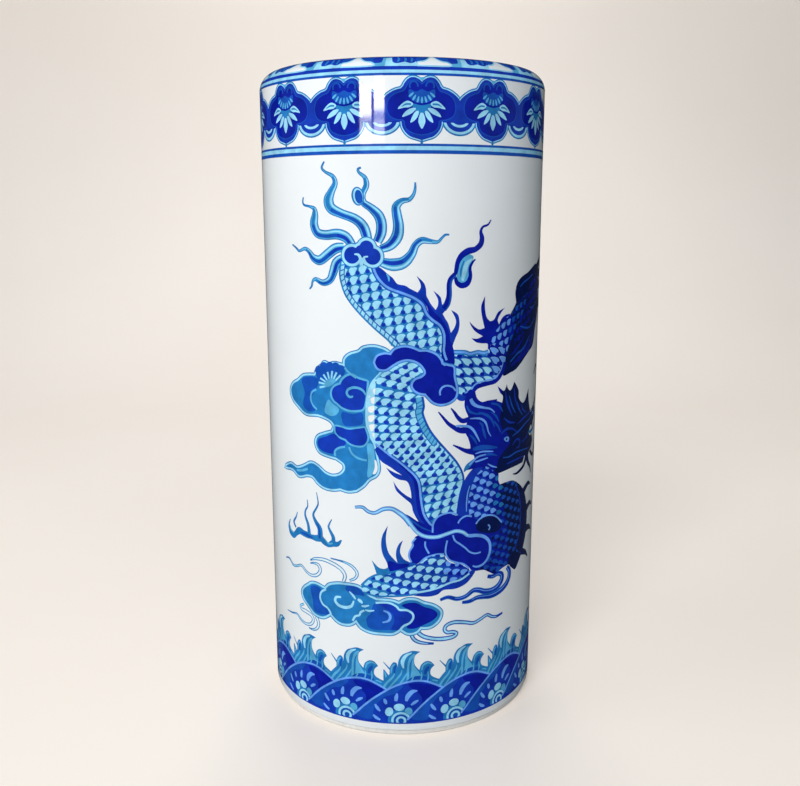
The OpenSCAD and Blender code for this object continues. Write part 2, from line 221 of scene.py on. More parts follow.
def lattice(box, start, across, down):
    """Places of scales in straight rows, inside a box (low u, low v, high u, high v)."""
    turn = math.degrees(math.atan2(across[1], across[0]))
    reach = range(-LATTICE_REACH, LATTICE_REACH + 1)
    places = []
    for i in reach:
        for k in reach:
            u = start[0] + i * across[0] + k * down[0]
            v = start[1] + i * across[1] + k * down[1]
            if box[0] < u < box[2] and box[1] < v < box[3]:
                places.append((u, v, turn))
    return places


def arc(u, v, r, start, end, width):
    """Points of a stroke along an arc, in degrees."""
    angles = [math.radians(start + (end - start) * i / ARC_STEPS) for i in range(ARC_STEPS + 1)]
    return [(u + r * math.cos(a), v + r * math.sin(a), width) for a in angles]


# Sheet of print


class Sheet:
    """Flat drawing of tones, turned into films on the wall."""

    def __init__(self):
        """Sheet with nothing on it."""
        self.points, self.edges, self.shapes = [], [], []

    def _shape(self, tone, mask):
        """Starts a shape and gives its number, by which a mask names it."""
        self.shapes.append((tone, mask, []))
        return len(self.shapes) - 1

    def _edges(self, line):
        """Keeps a line of points for the triangles to follow."""
        first = len(self.points)
        self.points += [Vector(p[:2]) for p in line]
        self.edges += [(first + i, first + i + 1) for i in range(len(line) - 1)]

    def fill(self, tone, points, mask=None):
        """Area of one tone, shown only inside the shape named by mask."""
        shape = self._shape(tone, mask)
        self._edges(list(points) + [points[0]])
        for corners in tessellate_polygon([[Vector((p[0], p[1], 0)) for p in points]]):
            self.shapes[shape][2].append([points[i][:2] for i in corners])
        return shape

    def blob(self, tone, points, mask=None):
        """Area inside a smooth closed curve through a few points."""
        return self.fill(tone, closed_curve(points), mask)

    def _ribbon(self, tone, sides, mask, closed):
        """Strip between pairs of left and right points."""
        shape = self._shape(tone, mask)
        rails = sides + sides[:1] if closed else sides
        self._edges([left for left, _ in rails])
        self._edges([right for _, right in rails])
        for left, right in sides:
            self._edges([left, right])
        for (left, right), (left_on, right_on) in zip(rails, rails[1:]):
            self.shapes[shape][2].append([left, right, right_on])
            self.shapes[shape][2].append([left, right_on, left_on])

    def stroke(self, tone, points, share=1.0, grow=0.0, shift=0.0, mask=None, least=0.06):
        """Brush stroke along points (u, v, width).

        share and grow change the width, shift moves the stroke to its left, in widths, and points
        thinner than least are left out.
        """
        line = open_curve(points)
        sides = []
        for i, (u, v, width) in enumerate(line):
            before, after = line[max(i - 1, 0)], line[min(i + 1, len(line) - 1)]
            du, dv = after[0] - before[0], after[1] - before[1]
            size = math.hypot(du, dv) or 1.0
            nu, nv = -dv / size, du / size
            half = (width * share + grow) / 2
            u, v = u + nu * shift * width, v + nv * shift * width
            if half * 2 > least:
                sides.append(((u + nu * half, v + nv * half), (u - nu * half, v - nv * half)))
        self._ribbon(tone, sides, mask, False)

    def strokes(self, tone, runs, **more):
        """A brush stroke along each run of points."""
        for points in runs:
            self.stroke(tone, points, **more)

    def line(self, tone, points, width, **more):
        """Brush stroke of one width."""
        self.stroke(tone, [(*p[:2], width) for p in points], **more)

    def rim(self, tone, points, width, mask=None):
        """Line of one width around an outline that is already a fine curve."""
        count = len(points)
        sides = []
        for i, (u, v) in enumerate(p[:2] for p in points):
            du = points[(i + 1) % count][0] - points[i - 1][0]
            dv = points[(i + 1) % count][1] - points[i - 1][1]
            size = math.hypot(du, dv) or 1.0
            nu, nv = -dv / size * width / 2, du / size * width / 2
            sides.append(((u + nu, v + nv), (u - nu, v - nv)))
        self._ribbon(tone, sides, mask, True)

    def scales(self, region, places, cell, knot, tones=(SKY, ROYAL)):
        """Scales at places (u, v, turn), each a bright cell with a dark knot at one corner.

        cell is a width, a height and a lean in degrees. knot is a shift, a width and a height.
        """
        for u, v, turn in places:
            self.fill(tones[0], drop(u, v, cell[0] / 2, cell[1] / 2, turn + cell[2]), region)
        for u, v, turn in places:
            c, s = math.cos(math.radians(turn)), math.sin(math.radians(turn))
            ku, kv = u + c * knot[0] - s * knot[1], v + s * knot[0] + c * knot[1]
            self.fill(tones[1], ellipse(ku, kv, knot[2] / 2, knot[3] / 2, turn), region)

    def _grid(self):
        """Upright cuts all along the sheet, and closer level cuts where it goes around the lip."""
        us = [p.x for p in self.points]
        vs = [p.y for p in self.points]
        low_u, high_u = min(us) - GRID_MARGIN, max(us) + GRID_MARGIN
        low_v, high_v = min(vs) - GRID_MARGIN, max(vs) + GRID_MARGIN
        lines = []
        for i in range(int((high_u - low_u) / GRID) + 1):
            lines.append(((low_u + i * GRID, low_v), (low_u + i * GRID, high_v)))
        v = LIP_START
        while v < high_v:
            lines.append(((low_u, v), (high_u, v)))
            v += LIP_GRID
        return lines

    def tones(self):
        """Triangles of each tone after later shapes have covered earlier ones."""
        points, edges = list(self.points), list(self.edges)
        for start, end in self._grid():
            edges.append((len(points), len(points) + 1))
            points += [Vector(start), Vector(end)]
        places, _, faces, *_ = delaunay_2d_cdt(points, edges, [], 0, MERGE, False)
        flat = np.array([p[:] for p in places])
        cells = np.array(faces)
        middles = flat[cells].mean(axis=1)
        cells = cells[np.argsort(middles[:, 0])]
        middles = flat[cells].mean(axis=1)
        names = [None]
        shown = np.zeros(len(cells), dtype=int)
        covered = []
        for tone, mask, triangles in self.shapes:
            inside = np.zeros(len(cells), dtype=bool)
            for corners in triangles:
                self._mark(inside, middles, corners)
            covered.append(inside)
            if tone not in names:
                names.append(tone)
            shown[inside if mask is None else inside & covered[mask]] = names.index(tone)
        return {t: flat[cells[shown == i]] for i, t in enumerate(names) if t not in (None, WHITE)}

    def _mark(self, inside, middles, corners):
        """Marks the middles that lie inside one triangle."""
        us = [c[0] for c in corners]
        first, last = np.searchsorted(middles[:, 0], (min(us), max(us)))
        near = middles[first:last]
        crosses = []
        for (au, av), (bu, bv) in zip(corners, corners[1:] + corners[:1]):
            crosses.append((bu - au) * (near[:, 1] - av) - (bv - av) * (near[:, 0] - au))
        low, high = np.minimum.reduce(crosses), np.maximum.reduce(crosses)
        inside[first:last] |= (low >= 0) | (high <= 0)

    def films(self, name, nodes, turns=(0.0,)):
        """One film for each tone, repeated at each turn in degrees and standing for CAD nodes."""
        found = self.tones()
        for index, (turn, node) in enumerate(zip(turns, nodes)):
            for tone, triangles in found.items():
                suffix = f"_{index + 1}" if len(turns) > 1 else ""
                film(f"{name}{suffix}_{tone}", triangles, turn, tone, node)


def on_wall(u, v, turn, lift):
    """Place and normal on the glaze of a sheet point, in metres."""
    angle = u / WALL_R + math.radians(turn)
    tilt = max(0.0, (v - LIP_START) / LIP_R)
    radius = (CREST_R if tilt > 0 else WALL_R - LIP_R) + (LIP_R + lift) * math.cos(tilt)
    height = v if tilt == 0 else LIP_START + (LIP_R + lift) * math.sin(tilt)
    outward = Vector((math.sin(angle), -math.cos(angle), 0))
    normal = outward * math.cos(tilt) + Vector((0, 0, math.sin(tilt)))
    return (outward * radius + Vector((0, 0, height))) * MM, normal


def film(name, triangles, turn, tone, node):
    """Mesh of one tone's triangles just off the glaze, which stands for a CAD node."""
    index, sheet_points, faces = {}, [], []
    for triangle in triangles:
        face = []
        for p in triangle:
            key = (round(float(p[0]), DIGITS), round(float(p[1]), DIGITS))
            if key not in index:
                index[key] = len(sheet_points)
                sheet_points.append(key)
            face.append(index[key])
        if len(set(face)) == 3:
            faces.append(face)
    placed = [on_wall(u, v, turn, LIFT) for u, v in sheet_points]
    mesh = bpy.data.meshes.new(name)
    mesh.from_pydata([p for p, _ in placed], [], faces)
    mesh.shade_smooth()
    mesh.normals_split_custom_set_from_vertices([n for _, n in placed])
    uv = mesh.uv_layers.new(name="OFBake")
    for loop in mesh.loops:
        u, v = sheet_points[loop.vertex_index]
        uv.data[loop.index].uv = (u / GIRTH + 0.5, v / (POT_H + LIP_R))
    piece = bpy.data.objects.new(name, mesh)
    bpy.context.collection.objects.link(piece)
    mesh.materials.append(print_material(tone))
    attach(piece, "root")
    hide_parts(node)


# Materials, with noise scales in cells to a metre

INK_THICK, INK_THIN, INK_THIN_LIFT = 0.92, 1.08, 0.015
GLAZE_DARKEST = 0.985
BISQUE_DARKEST = 0.94
GLAZE_NOISE = 60.0
INK_NOISE = 420.0
BISQUE_NOISE = 900.0
SOFT_DETAIL = 4.0
FINE_DETAIL = 8.0
RAMP_ENDS = (0.3, 0.7)
SMOOTHEST, DULLEST = 0.035, 0.075
GLAZE_IOR = 1.5
GLAZE_BUMP = (0.03, 0.0005)
BISQUE_BUMP = (0.25, 0.0002)
BISQUE_ROUGHNESS = 0.75


def principled(name):
    """New material, its node tree and its shader."""
    material = bpy.data.materials.new(name)
    material.use_nodes = True
    return material, material.node_tree, material.node_tree.nodes["Principled BSDF"]


def noise_between(tree, shader, socket, low, high, scale, detail=SOFT_DETAIL):
    """Drives a socket with soft noise between two values or colours."""
    coords = tree.nodes.new("ShaderNodeTexCoord")
    noise = tree.nodes.new("ShaderNodeTexNoise")
    noise.inputs["Scale"].default_value = scale
    noise.inputs["Detail"].default_value = detail
    ramp = tree.nodes.new("ShaderNodeValToRGB")
    for element, position, value in zip(ramp.color_ramp.elements, RAMP_ENDS, (low, high)):
        element.position = position
        element.color = value
    tree.links.new(coords.outputs["Object"], noise.inputs["Vector"])
    tree.links.new(noise.outputs["Fac"], ramp.inputs["Fac"])
    tree.links.new(ramp.outputs["Color"], shader.inputs[socket])
    return noise


def grain(tree, shader, noise, strength, distance):
    """Bump from a noise that is already in the material."""
    bump = tree.nodes.new("ShaderNodeBump")
    bump.inputs["Strength"].default_value = strength
    bump.inputs["Distance"].default_value = distance
    tree.links.new(noise.outputs["Fac"], bump.inputs["Height"])
    tree.links.new(bump.outputs["Normal"], shader.inputs["Normal"])


def fired_gloss(tree, shader):
    """Clear gloss, a little uneven and faintly wavy from firing."""
    low, high = [(value, value, value, 1) for value in (SMOOTHEST, DULLEST)]
    noise = noise_between(tree, shader, "Roughness", low, high, GLAZE_NOISE)
    grain(tree, shader, noise, *GLAZE_BUMP)
    shader.inputs["IOR"].default_value = GLAZE_IOR


PRINTS = {}


def print_material(tone):
    """Cobalt under a clear glaze, with the ink a little uneven."""
    if tone not in PRINTS:
        material, tree, shader = principled(f"cobalt_print_{tone}")
        colour = TONE_COLOURS[tone]
        thin = linear([min(1.0, c * INK_THIN + INK_THIN_LIFT) for c in colour])
        thick = linear([c * INK_THICK for c in colour])
        noise_between(tree, shader, "Base Color", thick, thin, INK_NOISE)
        fired_gloss(tree, shader)
        PRINTS[tone] = material
    return PRINTS[tone]


def glaze_material():
    """White glaze, its white a little uneven."""
    material, tree, shader = principled("white_glaze")
    low = linear([c * GLAZE_DARKEST for c in GLAZE_COLOUR])
    noise_between(tree, shader, "Base Color", low, linear(GLAZE_COLOUR), GLAZE_NOISE)
    fired_gloss(tree, shader)
    return material


def bisque_material():
    """Bare fired porcelain, matt and finely grained."""
    material, tree, shader = principled("bisque")
    low = linear([c * BISQUE_DARKEST for c in BISQUE_COLOUR])
    high = linear(BISQUE_COLOUR)
    noise = noise_between(tree, shader, "Base Color", low, high, BISQUE_NOISE, FINE_DETAIL)
    grain(tree, shader, noise, *BISQUE_BUMP)
    shader.inputs["Roughness"].default_value = BISQUE_ROUGHNESS
    return material


GLAZE = glaze_material()
BISQUE = bisque_material()

# Turned pieces

GLAZE_EDGE_R = GLAZE_T * 0.9
FLOOR_CORNER_R = 2.0
FLOOR_RINGS = (15.0, 5.0, 0.01)
FOOT_BEVEL = 0.45
SHARP_ANGLE = 40
EDGE_STEPS = 6
CORNER_STEPS = 8
LIP_STEPS = 20


def turned(name, profile, node, material):
    """Closed body turned from an outline of (radius, height) points."""
    count = len(profile)
    verts, faces = [], []
    for step in range(TURN_STEPS):
        angle = 2 * math.pi * step / TURN_STEPS
        verts += [(r * math.sin(angle) * MM, -r * math.cos(angle) * MM, z * MM) for r, z in profile]
    for step in range(TURN_STEPS):
        here, there = step * count, (step + 1) % TURN_STEPS * count
        for i in range(count):
            k = (i + 1) % count
            faces.append((here + i, there + i, there + k, here + k))
    mesh = bpy.data.meshes.new(name)
    mesh.from_pydata(verts, [], faces)
    mesh.update()
    piece = bpy.data.objects.new(name, mesh)
    bpy.context.collection.objects.link(piece)
    mesh.shade_smooth()
    mesh.set_sharp_from_angle(angle=math.radians(SHARP_ANGLE))
    mesh.materials.append(material)
    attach(piece, "root")
    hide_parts(node)


def round_run(r, z, radius, start, end, steps):
    """Points of an arc in the section, in degrees."""
    angles = [math.radians(start + (end - start) * i / steps) for i in range(steps + 1)]
    return [(r + radius * math.cos(a), z + radius * math.sin(a)) for a in angles]


def along_wall(radius, start, end):
    """Evenly spaced points along a straight wall in the section."""
    return [(radius, start + (end - start) * i / WALL_STEPS) for i in range(WALL_STEPS + 1)]


def make_outside():
    """Glaze from its rounded lower edge up the wall and over the lip."""
    edge = GLAZE_EDGE_R
    profile = round_run(WALL_R - edge, GLAZE_STOP + edge, edge, -90, 0, EDGE_STEPS)
    profile += along_wall(WALL_R, GLAZE_STOP + edge, LIP_START)[1:]
    profile += round_run(CREST_R, LIP_START, LIP_R, 0, 90, LIP_STEPS)[1:]
    profile += round_run(CREST_R, LIP_START, LIP_R - GLAZE_T, 90, 0, LIP_STEPS)
    profile += [(BISQUE_R, GLAZE_STOP)]
    turned("outer_glaze_skin", profile, "outer_glaze", GLAZE)


def make_inside():
    """Glaze from the lip down the bore, around a soft corner and across the floor."""
    lip_z = POT_H - LIP_INNER_R
    corner = FLOOR_CORNER_R
    floor_top = FLOOR_Z + GLAZE_T
    profile = round_run(CREST_R, lip_z, LIP_INNER_R, 90, 180, CORNER_STEPS)
    profile += along_wall(BORE_R, lip_z, floor_top + corner)[1:]
    profile += round_run(BORE_R - corner, floor_top + corner, corner, 0, -90, CORNER_STEPS)[1:]
    profile += [(radius, floor_top) for radius in FLOOR_RINGS]
    profile += [(radius, FLOOR_Z) for radius in (FLOOR_RINGS[-1], BORE_R + GLAZE_T)]
    profile += [(BORE_R + GLAZE_T, lip_z)]
    profile += round_run(CREST_R, lip_z, LIP_INNER_R - GLAZE_T, 180, 90, CORNER_STEPS)[1:]
    turned("inner_glaze_skin", profile, "inner_glaze", GLAZE)


def make_foot():
    """Bare foot ring with rounded lower edges."""
    profile = [(FOOT_INNER_R, FOOT_H)]
    profile += round_run(FOOT_INNER_R + FOOT_BEVEL, FOOT_BEVEL, FOOT_BEVEL, 180, 270, EDGE_STEPS)
    profile += round_run(BISQUE_R - FOOT_BEVEL, FOOT_BEVEL, FOOT_BEVEL, 270, 360, EDGE_STEPS)
    profile += [(BISQUE_R, FOOT_H)]
    turned("foot_ring_turned", profile, "foot_ring", BISQUE)


def dress_solids():
    """Better materials for the CAD solids that stay as they are."""
    for name in ("base_slab", "body_wall", "lip_ring", "base_glaze"):
        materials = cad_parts[name].data.materials
        materials.clear()
        materials.append(GLAZE if name == "base_glaze" else BISQUE)


# Collar and lip. Lines are a lower edge, an upper edge and a tone

MEDALLIONS = 13
MEDALLION_PITCH = GIRTH / MEDALLIONS
FRONT_MEDALLION = 3.1
COLLAR_LOW = 118.0
COLLAR_LINES = ((118.6, 119.25, BLUE), (119.25, 119.97, SKY), (119.97, 120.4, BLUE))
TOP_LINES = ((132.3, 132.75, BLUE), (132.75, 133.3, SKY), (133.3, 134.0, ROYAL))
LIP_BAND = (134.0, 137.3)


def band(sheet, low, high, tone):
    """Band of one tone all round the pot."""
    half = GIRTH / 2
    return sheet.fill(tone, [(-half, low), (half, low), (half, high), (-half, high)])


def medallion_places(shift=0.0):
    """Places of the medallions, or of a share of a pitch past them, with spare ones over the seam."""
    turns = [i - MEDALLIONS // 2 + shift for i in range(-1, MEDALLIONS + 1)]
    return [FRONT_MEDALLION + turn * MEDALLION_PITCH for turn in turns]


MEDALLION_TOP = [(0, 131.2), (0.6, 131.7), (1.5, 132.0), (2.4, 131.8), (3.1, 131.1), (3.5, 130.4),
                 (3.9, 130.05)]
MEDALLION_SIDE = [(3.9, 130.05), (4.9, 129.8), (5.9, 129.3), (6.7, 128.7), (7.3, 128.1)]
MEDALLION_WAIST = (7.3, 124.2)
MEDALLION_LOW = [(3.75, 124.3), (3.6, 123.4), (3.1, 122.5), (2.2, 121.7), (1.0, 121.3), (0, 121.0)]
MEDALLION_CORE = [
    (0, 130.7), (0.7, 131.25), (1.5, 131.4), (2.3, 131.1), (2.8, 130.3), (3.3, 129.6), (4.5, 129.2),
    (5.6, 128.6), (6.2, 127.6), (6.3, 126.4), (5.8, 125.3), (4.6, 124.7), (3.3, 124.5), (3.0, 123.4),
    (2.4, 122.7), (1.2, 122.2), (0, 122.0),
]
MEDALLION_RIM = ((COBALT, 0.8), (SKY, 0.36))
MEDALLION_CORE_RIM = 0.3
MEDALLION_STEM = [(0, 121.0, 0.5), (0, 120.2, 0.5)]
MEDALLION_NOTCH = [(-0.7, 132.0), (0.7, 132.0), (0, 131.3)]


def whole_from_half(points, u):
    """Closed outline from its right half, around a middle line at u."""
    return [(u + p[0], p[1]) for p in points] + [(u - p[0], p[1]) for p in reversed(points)]


def medallion(sheet, u, mask):
    """Hanging medallion around u: a light rim, a dark core and a flower."""
    for flip in (1, -1):
        for tone, width in MEDALLION_RIM:
            for run in (MEDALLION_TOP, MEDALLION_SIDE, MEDALLION_LOW):
                sheet.line(tone, moved(run, u, 0, flip), width, mask=mask)
    half = open_curve(MEDALLION_TOP) + open_curve(MEDALLION_SIDE)
    half += [MEDALLION_WAIST] + open_curve(MEDALLION_LOW)
    sheet.fill(ROYAL, whole_from_half(half, u), mask)
    core = whole_from_half(open_curve(MEDALLION_CORE), u)
    sheet.rim(BLUE, core, MEDALLION_CORE_RIM, mask)
    sheet.fill(NAVY, core, mask)
    medallion_flower(sheet, u, mask)
    sheet.stroke(COBALT, moved(MEDALLION_STEM, u), mask=mask)
    sheet.fill(AZURE, moved(MEDALLION_NOTCH, u), mask)


CUP = [
    (-2.3, 129.9), (-2.4, 128.9), (-1.6, 127.9), (0, 127.5), (1.6, 127.9), (2.4, 128.9), (2.3, 129.9),
    (1.1, 129.5), (0, 129.9), (-1.1, 129.5),
]
CUP_RAY_ANGLES = (-140, -123, -106, -90, -74, -57, -40)
CUP_RAY = ((2.0, 0.15), (2.6, 0.4), (3.1, 0.25))
CUP_TOP = 130.6
CUP_CURL = arc(1.5, 130.5, 0.75, start=-30, end=190, width=0.28)
HEART = [(-1.8, 127.4), (0, 127.1), (1.8, 127.4), (1.4, 126.4), (0.6, 125.7), (-0.6, 125.7), (-1.4, 126.4)]
PETALS = (
    [(1.6, 127.4), (2.6, 127.9), (3.6, 127.4), (4.4, 126.5), (3.2, 126.7), (2.2, 126.8)],
    [(1.1, 126.6), (2.0, 126.6), (3.0, 126.0), (3.6, 125.1), (2.5, 125.4), (1.6, 125.9)],
    [(0.6, 126.1), (1.2, 126.0), (1.8, 125.1), (2.1, 124.1), (1.3, 124.5), (0.7, 125.3)],
)
PETAL_VEIN = [(2.0, 127.3, 0.3), (2.9, 127.3, 0.3), (3.7, 126.9, 0.1)]
LOWEST_PETAL = [
    (0, 123.0), (0.5, 123.8), (0.65, 124.5), (0.3, 125.7), (-0.3, 125.7), (-0.65, 124.5), (-0.5, 123.8),
]


def medallion_flower(sheet, u, mask):
    """Cup with rays, seven petals that hang from its heart, and a curl at each shoulder."""
    sheet.blob(BLUE, moved(CUP, u), mask)
    sheet.blob(COBALT, moved(HEART, u), mask)
    for angle in CUP_RAY_ANGLES:
        c, s = math.cos(math.radians(angle)), math.sin(math.radians(angle))
        sheet.stroke(AZURE, [(u + c * r, CUP_TOP + s * r, width) for r, width in CUP_RAY], mask=mask)
    for flip in (1, -1):
        for petal in PETALS:
            sheet.blob(SKY, moved(petal, u, 0, flip), mask)
        sheet.stroke(COBALT, moved(PETAL_VEIN, u, 0, flip), mask=mask)
        sheet.stroke(BLUE, moved(CUP_CURL, u, 0, flip), mask=mask)
    sheet.blob(SKY, moved(LOWEST_PETAL, u), mask)


RAINBOW_MIDDLE = 124.5
RAINBOW_RINGS = ((3.5, 2.7, COBALT), (3.2, 2.4, SKY), (2.7, 1.95, ROYAL), (1.9, 1.15, SKY), (1.4, 0.7, ROYAL))
RAINBOW_COVER = [(-3.4, -0.35), (3.4, -0.35), (3.4, 3.1), (0, 3.7), (-3.4, 3.1)]


def rainbow(sheet, u, mask):
    """Arc of rings that hangs between two medallions, with its upper half covered."""
    for wide, high, tone in RAINBOW_RINGS:
        sheet.fill(tone, ellipse(u, RAINBOW_MIDDLE, wide, high, count=28), mask)
    sheet.fill(NAVY, moved(RAINBOW_COVER, u, RAINBOW_MIDDLE), mask)


def make_collar():
    """Lines, rainbows and medallions under the lip."""
    sheet = Sheet()
    whole = band(sheet, COLLAR_LOW, LIP_START, WHITE)
    for low, high, tone in COLLAR_LINES:
        band(sheet, low, high, tone)
    for u in medallion_places(0.5):
        rainbow(sheet, u, whole)
    for u in medallion_places():
        medallion(sheet, u, whole)
    sheet.films("collar_print", ["collar_transfer"])


LIP_PEAK = outline(
    [(-0.9, 134.1), (-0.7, 134.9), (0.5, 135.2), (1.4, 135.9)],
    [(1.8, 136.9)],
    [(2.6, 136.9), (3.0, 135.9), (3.9, 135.2), (5.1, 134.9), (5.3, 134.1)],
)
LIP_GROUND_LEFT = [(-6.8, 134.0), (-1.0, 134.0), (-1.0, 135.0), (-5.4, 134.9), (-5.6, 136.4),
                   (-6.6, 136.2)]
LIP_GROUND_RIGHT = [(5.4, 134.0), (7.9, 134.0), (7.9, 136.2), (7.3, 136.4), (7.1, 134.8), (5.4, 134.6)]
LIP_CLOUD_LEFT = [
    (-5.3, 134.9), (-4.4, 134.6), (-3.2, 134.9), (-2, 134.6), (-1.1, 135), (-1.0, 136.4), (-3, 137),
    (-5.2, 136.6),
]
LIP_FOLDS = (-4.4, -3.1, -1.9)
LIP_CLOUD_RIGHT = [(5.6, 134.9), (6.4, 134.7), (7.1, 135), (7.2, 136.2), (6.2, 136.8), (5.4, 136)]


def make_lip():
    """Lines and a dark band on the round of the lip, with a white peak in it for each medallion."""
    sheet = Sheet()
    whole = band(sheet, LIP_START, LIP_BAND[1], WHITE)
    for low, high, tone in TOP_LINES:
        band(sheet, low, high, tone)
    band(sheet, *LIP_BAND, BLUE)
    for u in medallion_places():
        sheet.fill(SKY, moved(LIP_GROUND_LEFT, u), whole)
        sheet.fill(AZURE, moved(LIP_GROUND_RIGHT, u), whole)
        sheet.blob(ROYAL, moved(LIP_CLOUD_LEFT, u), whole)
        sheet.blob(ROYAL, moved(LIP_CLOUD_RIGHT, u), whole)
        for fold_u in LIP_FOLDS:
            fold = [(fold_u, 134.9, 0.3), (fold_u + 0.2, 135.7, 0.45), (fold_u, 136.4, 0.25)]
            sheet.stroke(COBALT, moved(fold, u), mask=whole)
        sheet.fill(WHITE, moved(LIP_PEAK, u), whole)
        sheet.rim(SKY, moved(LIP_PEAK, u), 0.3, whole)
    sheet.films("lip_print", ["lip_transfer"])


# Waves

WAVES = 16
WAVE_PITCH = GIRTH / WAVES
FRONT_WAVE = 2.3
WAVE_LOW = 2.85
WAVE_TOP = 20.0
WAVE_LINE = 0.3
SWELL_END = 5.7
HUMP = [
    (-13.6, 3.8), (-12.4, 5.0), (-11, 6.5), (-9.2, 8.2), (-7, 9.9), (-5, 11.2), (-3, 12.1), (-1, 12.6),
    (0.4, 12.7), (2.2, 12.4), (4, 11.6), (5.78, 10.6),
]
SWELL_LIGHT = [
    (-12.8, 4.2), (-10, 7.2), (-7, 9.6), (-4, 11.4), (-2.6, 11.6), (-4.4, 9.8), (-6.8, 8.8), (-8.8, 6.2),
    (-9.4, 3.6),
]
SWELL_SHADE = [(-1.6, 11.9), (2.2, 11.8), (5, 10.4), (3, 8.2), (1, 6.4), (1.2, 9)]


def wave(sheet, u, mask):
    """Swell around u that ends against the rise of the next one, with a flower in it."""
    start = HUMP[0][0]
    rise = open_curve(HUMP)
    onward = [p for p in open_curve(moved(HUMP, WAVE_PITCH)) if p[0] < SWELL_END]
    ground = [(start, WAVE_LOW)] + rise + list(reversed(onward)) + [(start + WAVE_PITCH, WAVE_LOW)]
    body = sheet.fill(ROYAL, moved(ground, u), mask)
    sheet.fill(BLUE, moved(closed_curve(SWELL_LIGHT), u), body)
    sheet.fill(NAVY, moved(closed_curve(SWELL_SHADE), u), body)
    sheet.line(IRIS, moved(HUMP, u), 0.42, mask=mask)
    flower(sheet, u, body)


SWELL_FLOWER = (-3.1, 3.6)
SWELL_SQUASH = 0.95
SWELL_PETALS = (
    (SKY, -3.5, 6.7, 1.15, 0.85, 0),
    (SKY, -5.6, 5.6, 0.85, 1.05, -20),
    (AZURE, -1.5, 5.8, 0.8, 0.85, 30),
)
SWELL_RINGS = ((2.8, COBALT), (2.1, SKY), (1.6, BLUE), (1.1, SKY), (0.6, BLUE))
SWELL_RAYS = (
    [(-4.2, 8.1, 0.6), (-4.1, 9.0, 0.8), (-3.9, 9.9, 0.3)],
    [(-2.0, 8.1, 0.5), (-1.7, 9.2, 1.0), (-0.8, 10.2, 0.9), (0.3, 10.4, 0.25)],
    [(-6.6, 8.5, 0.4), (-6.4, 7.9, 0.75), (-6.2, 7.3, 0.4)],
    [(-8.6, 7.1, 0.4), (-8.1, 6.3, 0.7), (-7.5, 5.6, 0.35)],
    [(-9.0, 4.6, 0.4), (-8.3, 4.0, 0.65), (-7.5, 3.6, 0.35)],
    [(-1.0, 7.2, 0.35), (-0.2, 7.8, 0.65), (0.5, 8.2, 0.3)],
)


def flower(sheet, u, body):
    """Half flower of rings at the foot of a swell, with petals and rays around it."""
    for radius, tone in SWELL_RINGS:
        middle = (u + SWELL_FLOWER[0], SWELL_FLOWER[1])
        sheet.fill(tone, ellipse(*middle, radius, radius * SWELL_SQUASH, count=20), body)
    for tone, du, *shape in SWELL_PETALS:
        sheet.fill(tone, ellipse(u + du, *shape), body)
    for points in SWELL_RAYS:
        sheet.stroke(IRIS, moved(points, u), mask=body)


FOAM = outline(
    [(-8.6, 8.2), (-7.6, 11.4), (-6.6, 13.0)],
    [(-5.5, 14.2), (-5.4, 15.8), (-4.7, 16.9), (-4.0, 16.7)],
    [(-3.8, 15.8), (-3.6, 17.4), (-2.9, 18.6), (-1.9, 19.1), (-0.7, 19.5)],
    [(0.9, 19.2), (-0.1, 18.5), (-0.4, 17.3), (-0.2, 16.2)],
    [(0.7, 15.1), (1.1, 16.3), (2.1, 17.0), (3.1, 16.8)],
    [(3.9, 15.9), (3.2, 15.2), (3.0, 14.3), (3.4, 13.5)],
    [(4.6, 12.8), (6.6, 12.0), (6.4, 10.2), (0, 11.5)],
)
FOAM_HORN = [
    (-1.6, 12), (-1.9, 14.6), (-1.7, 16.8), (-1.2, 18.2), (-0.2, 18.8), (-0.5, 17.2), (-0.3, 16), (0.6, 14.6),
    (1.6, 12.4),
]
FOAM_DEEP = [(-2.2, 11.8), (-1.4, 13.2), (0.2, 13.8), (2, 13.6), (3, 12.8), (2, 11.8)]
FOAM_LINES = (
    (SKY, [(-2.6, 15.6, 0.3), (-2.8, 17.1, 0.8), (-2.1, 18.4, 0.65), (-0.9, 19.0, 0.25)]),
    (AZURE, [(-7.4, 9.8, 0.3), (-6.2, 12, 0.5), (-4.8, 13.6, 0.4), (-4.4, 14.6, 0.15)]),
    (AZURE, [(-5.8, 10.9, 0.2), (-4.4, 12.6, 0.4), (-3.2, 14.2, 0.35), (-2.9, 15.2, 0.15)]),
    (AZURE, [(-3.6, 11.8, 0.2), (-2.6, 13.2, 0.35), (-1.8, 14.6, 0.2)]),
    (COBALT, [(-1.3, 13.2, 0.2), (-1.2, 15, 0.5), (-1.1, 16.6, 0.4), (-0.7, 17.8, 0.15)]),
    (AZURE, [(-1.2, 12.4, 0.2), (-0.6, 13.4, 0.3), (-0.3, 14.6, 0.15)]),
    (AZURE, [(0.9, 12.5, 0.2), (1.2, 13.6, 0.3), (1.1, 14.6, 0.15)]),
    (AZURE, [(2.4, 12.4, 0.2), (2.6, 13.4, 0.3), (2.5, 14.6, 0.15)]),
    (AZURE, [(3.4, 12.6, 0.2), (4.4, 12.3, 0.3), (5.8, 11.4, 0.2)]),
    (AZURE, [(-5.2, 14.4, 0.2), (-5.0, 15.8, 0.4), (-4.4, 16.5, 0.2)]),
    (BLUE, [(-4.5, 14.4, 0.3), (-4.4, 15.6, 0.5), (-4.1, 16.3, 0.2)]),
    (AZURE, [(1.2, 15.0, 0.2), (1.5, 16.1, 0.4), (2.5, 16.6, 0.35), (3.4, 16.2, 0.15)]),
    (BLUE, [(1.8, 14.0, 0.5), (2.2, 15.0, 0.8), (2.7, 15.8, 0.4)]),
)
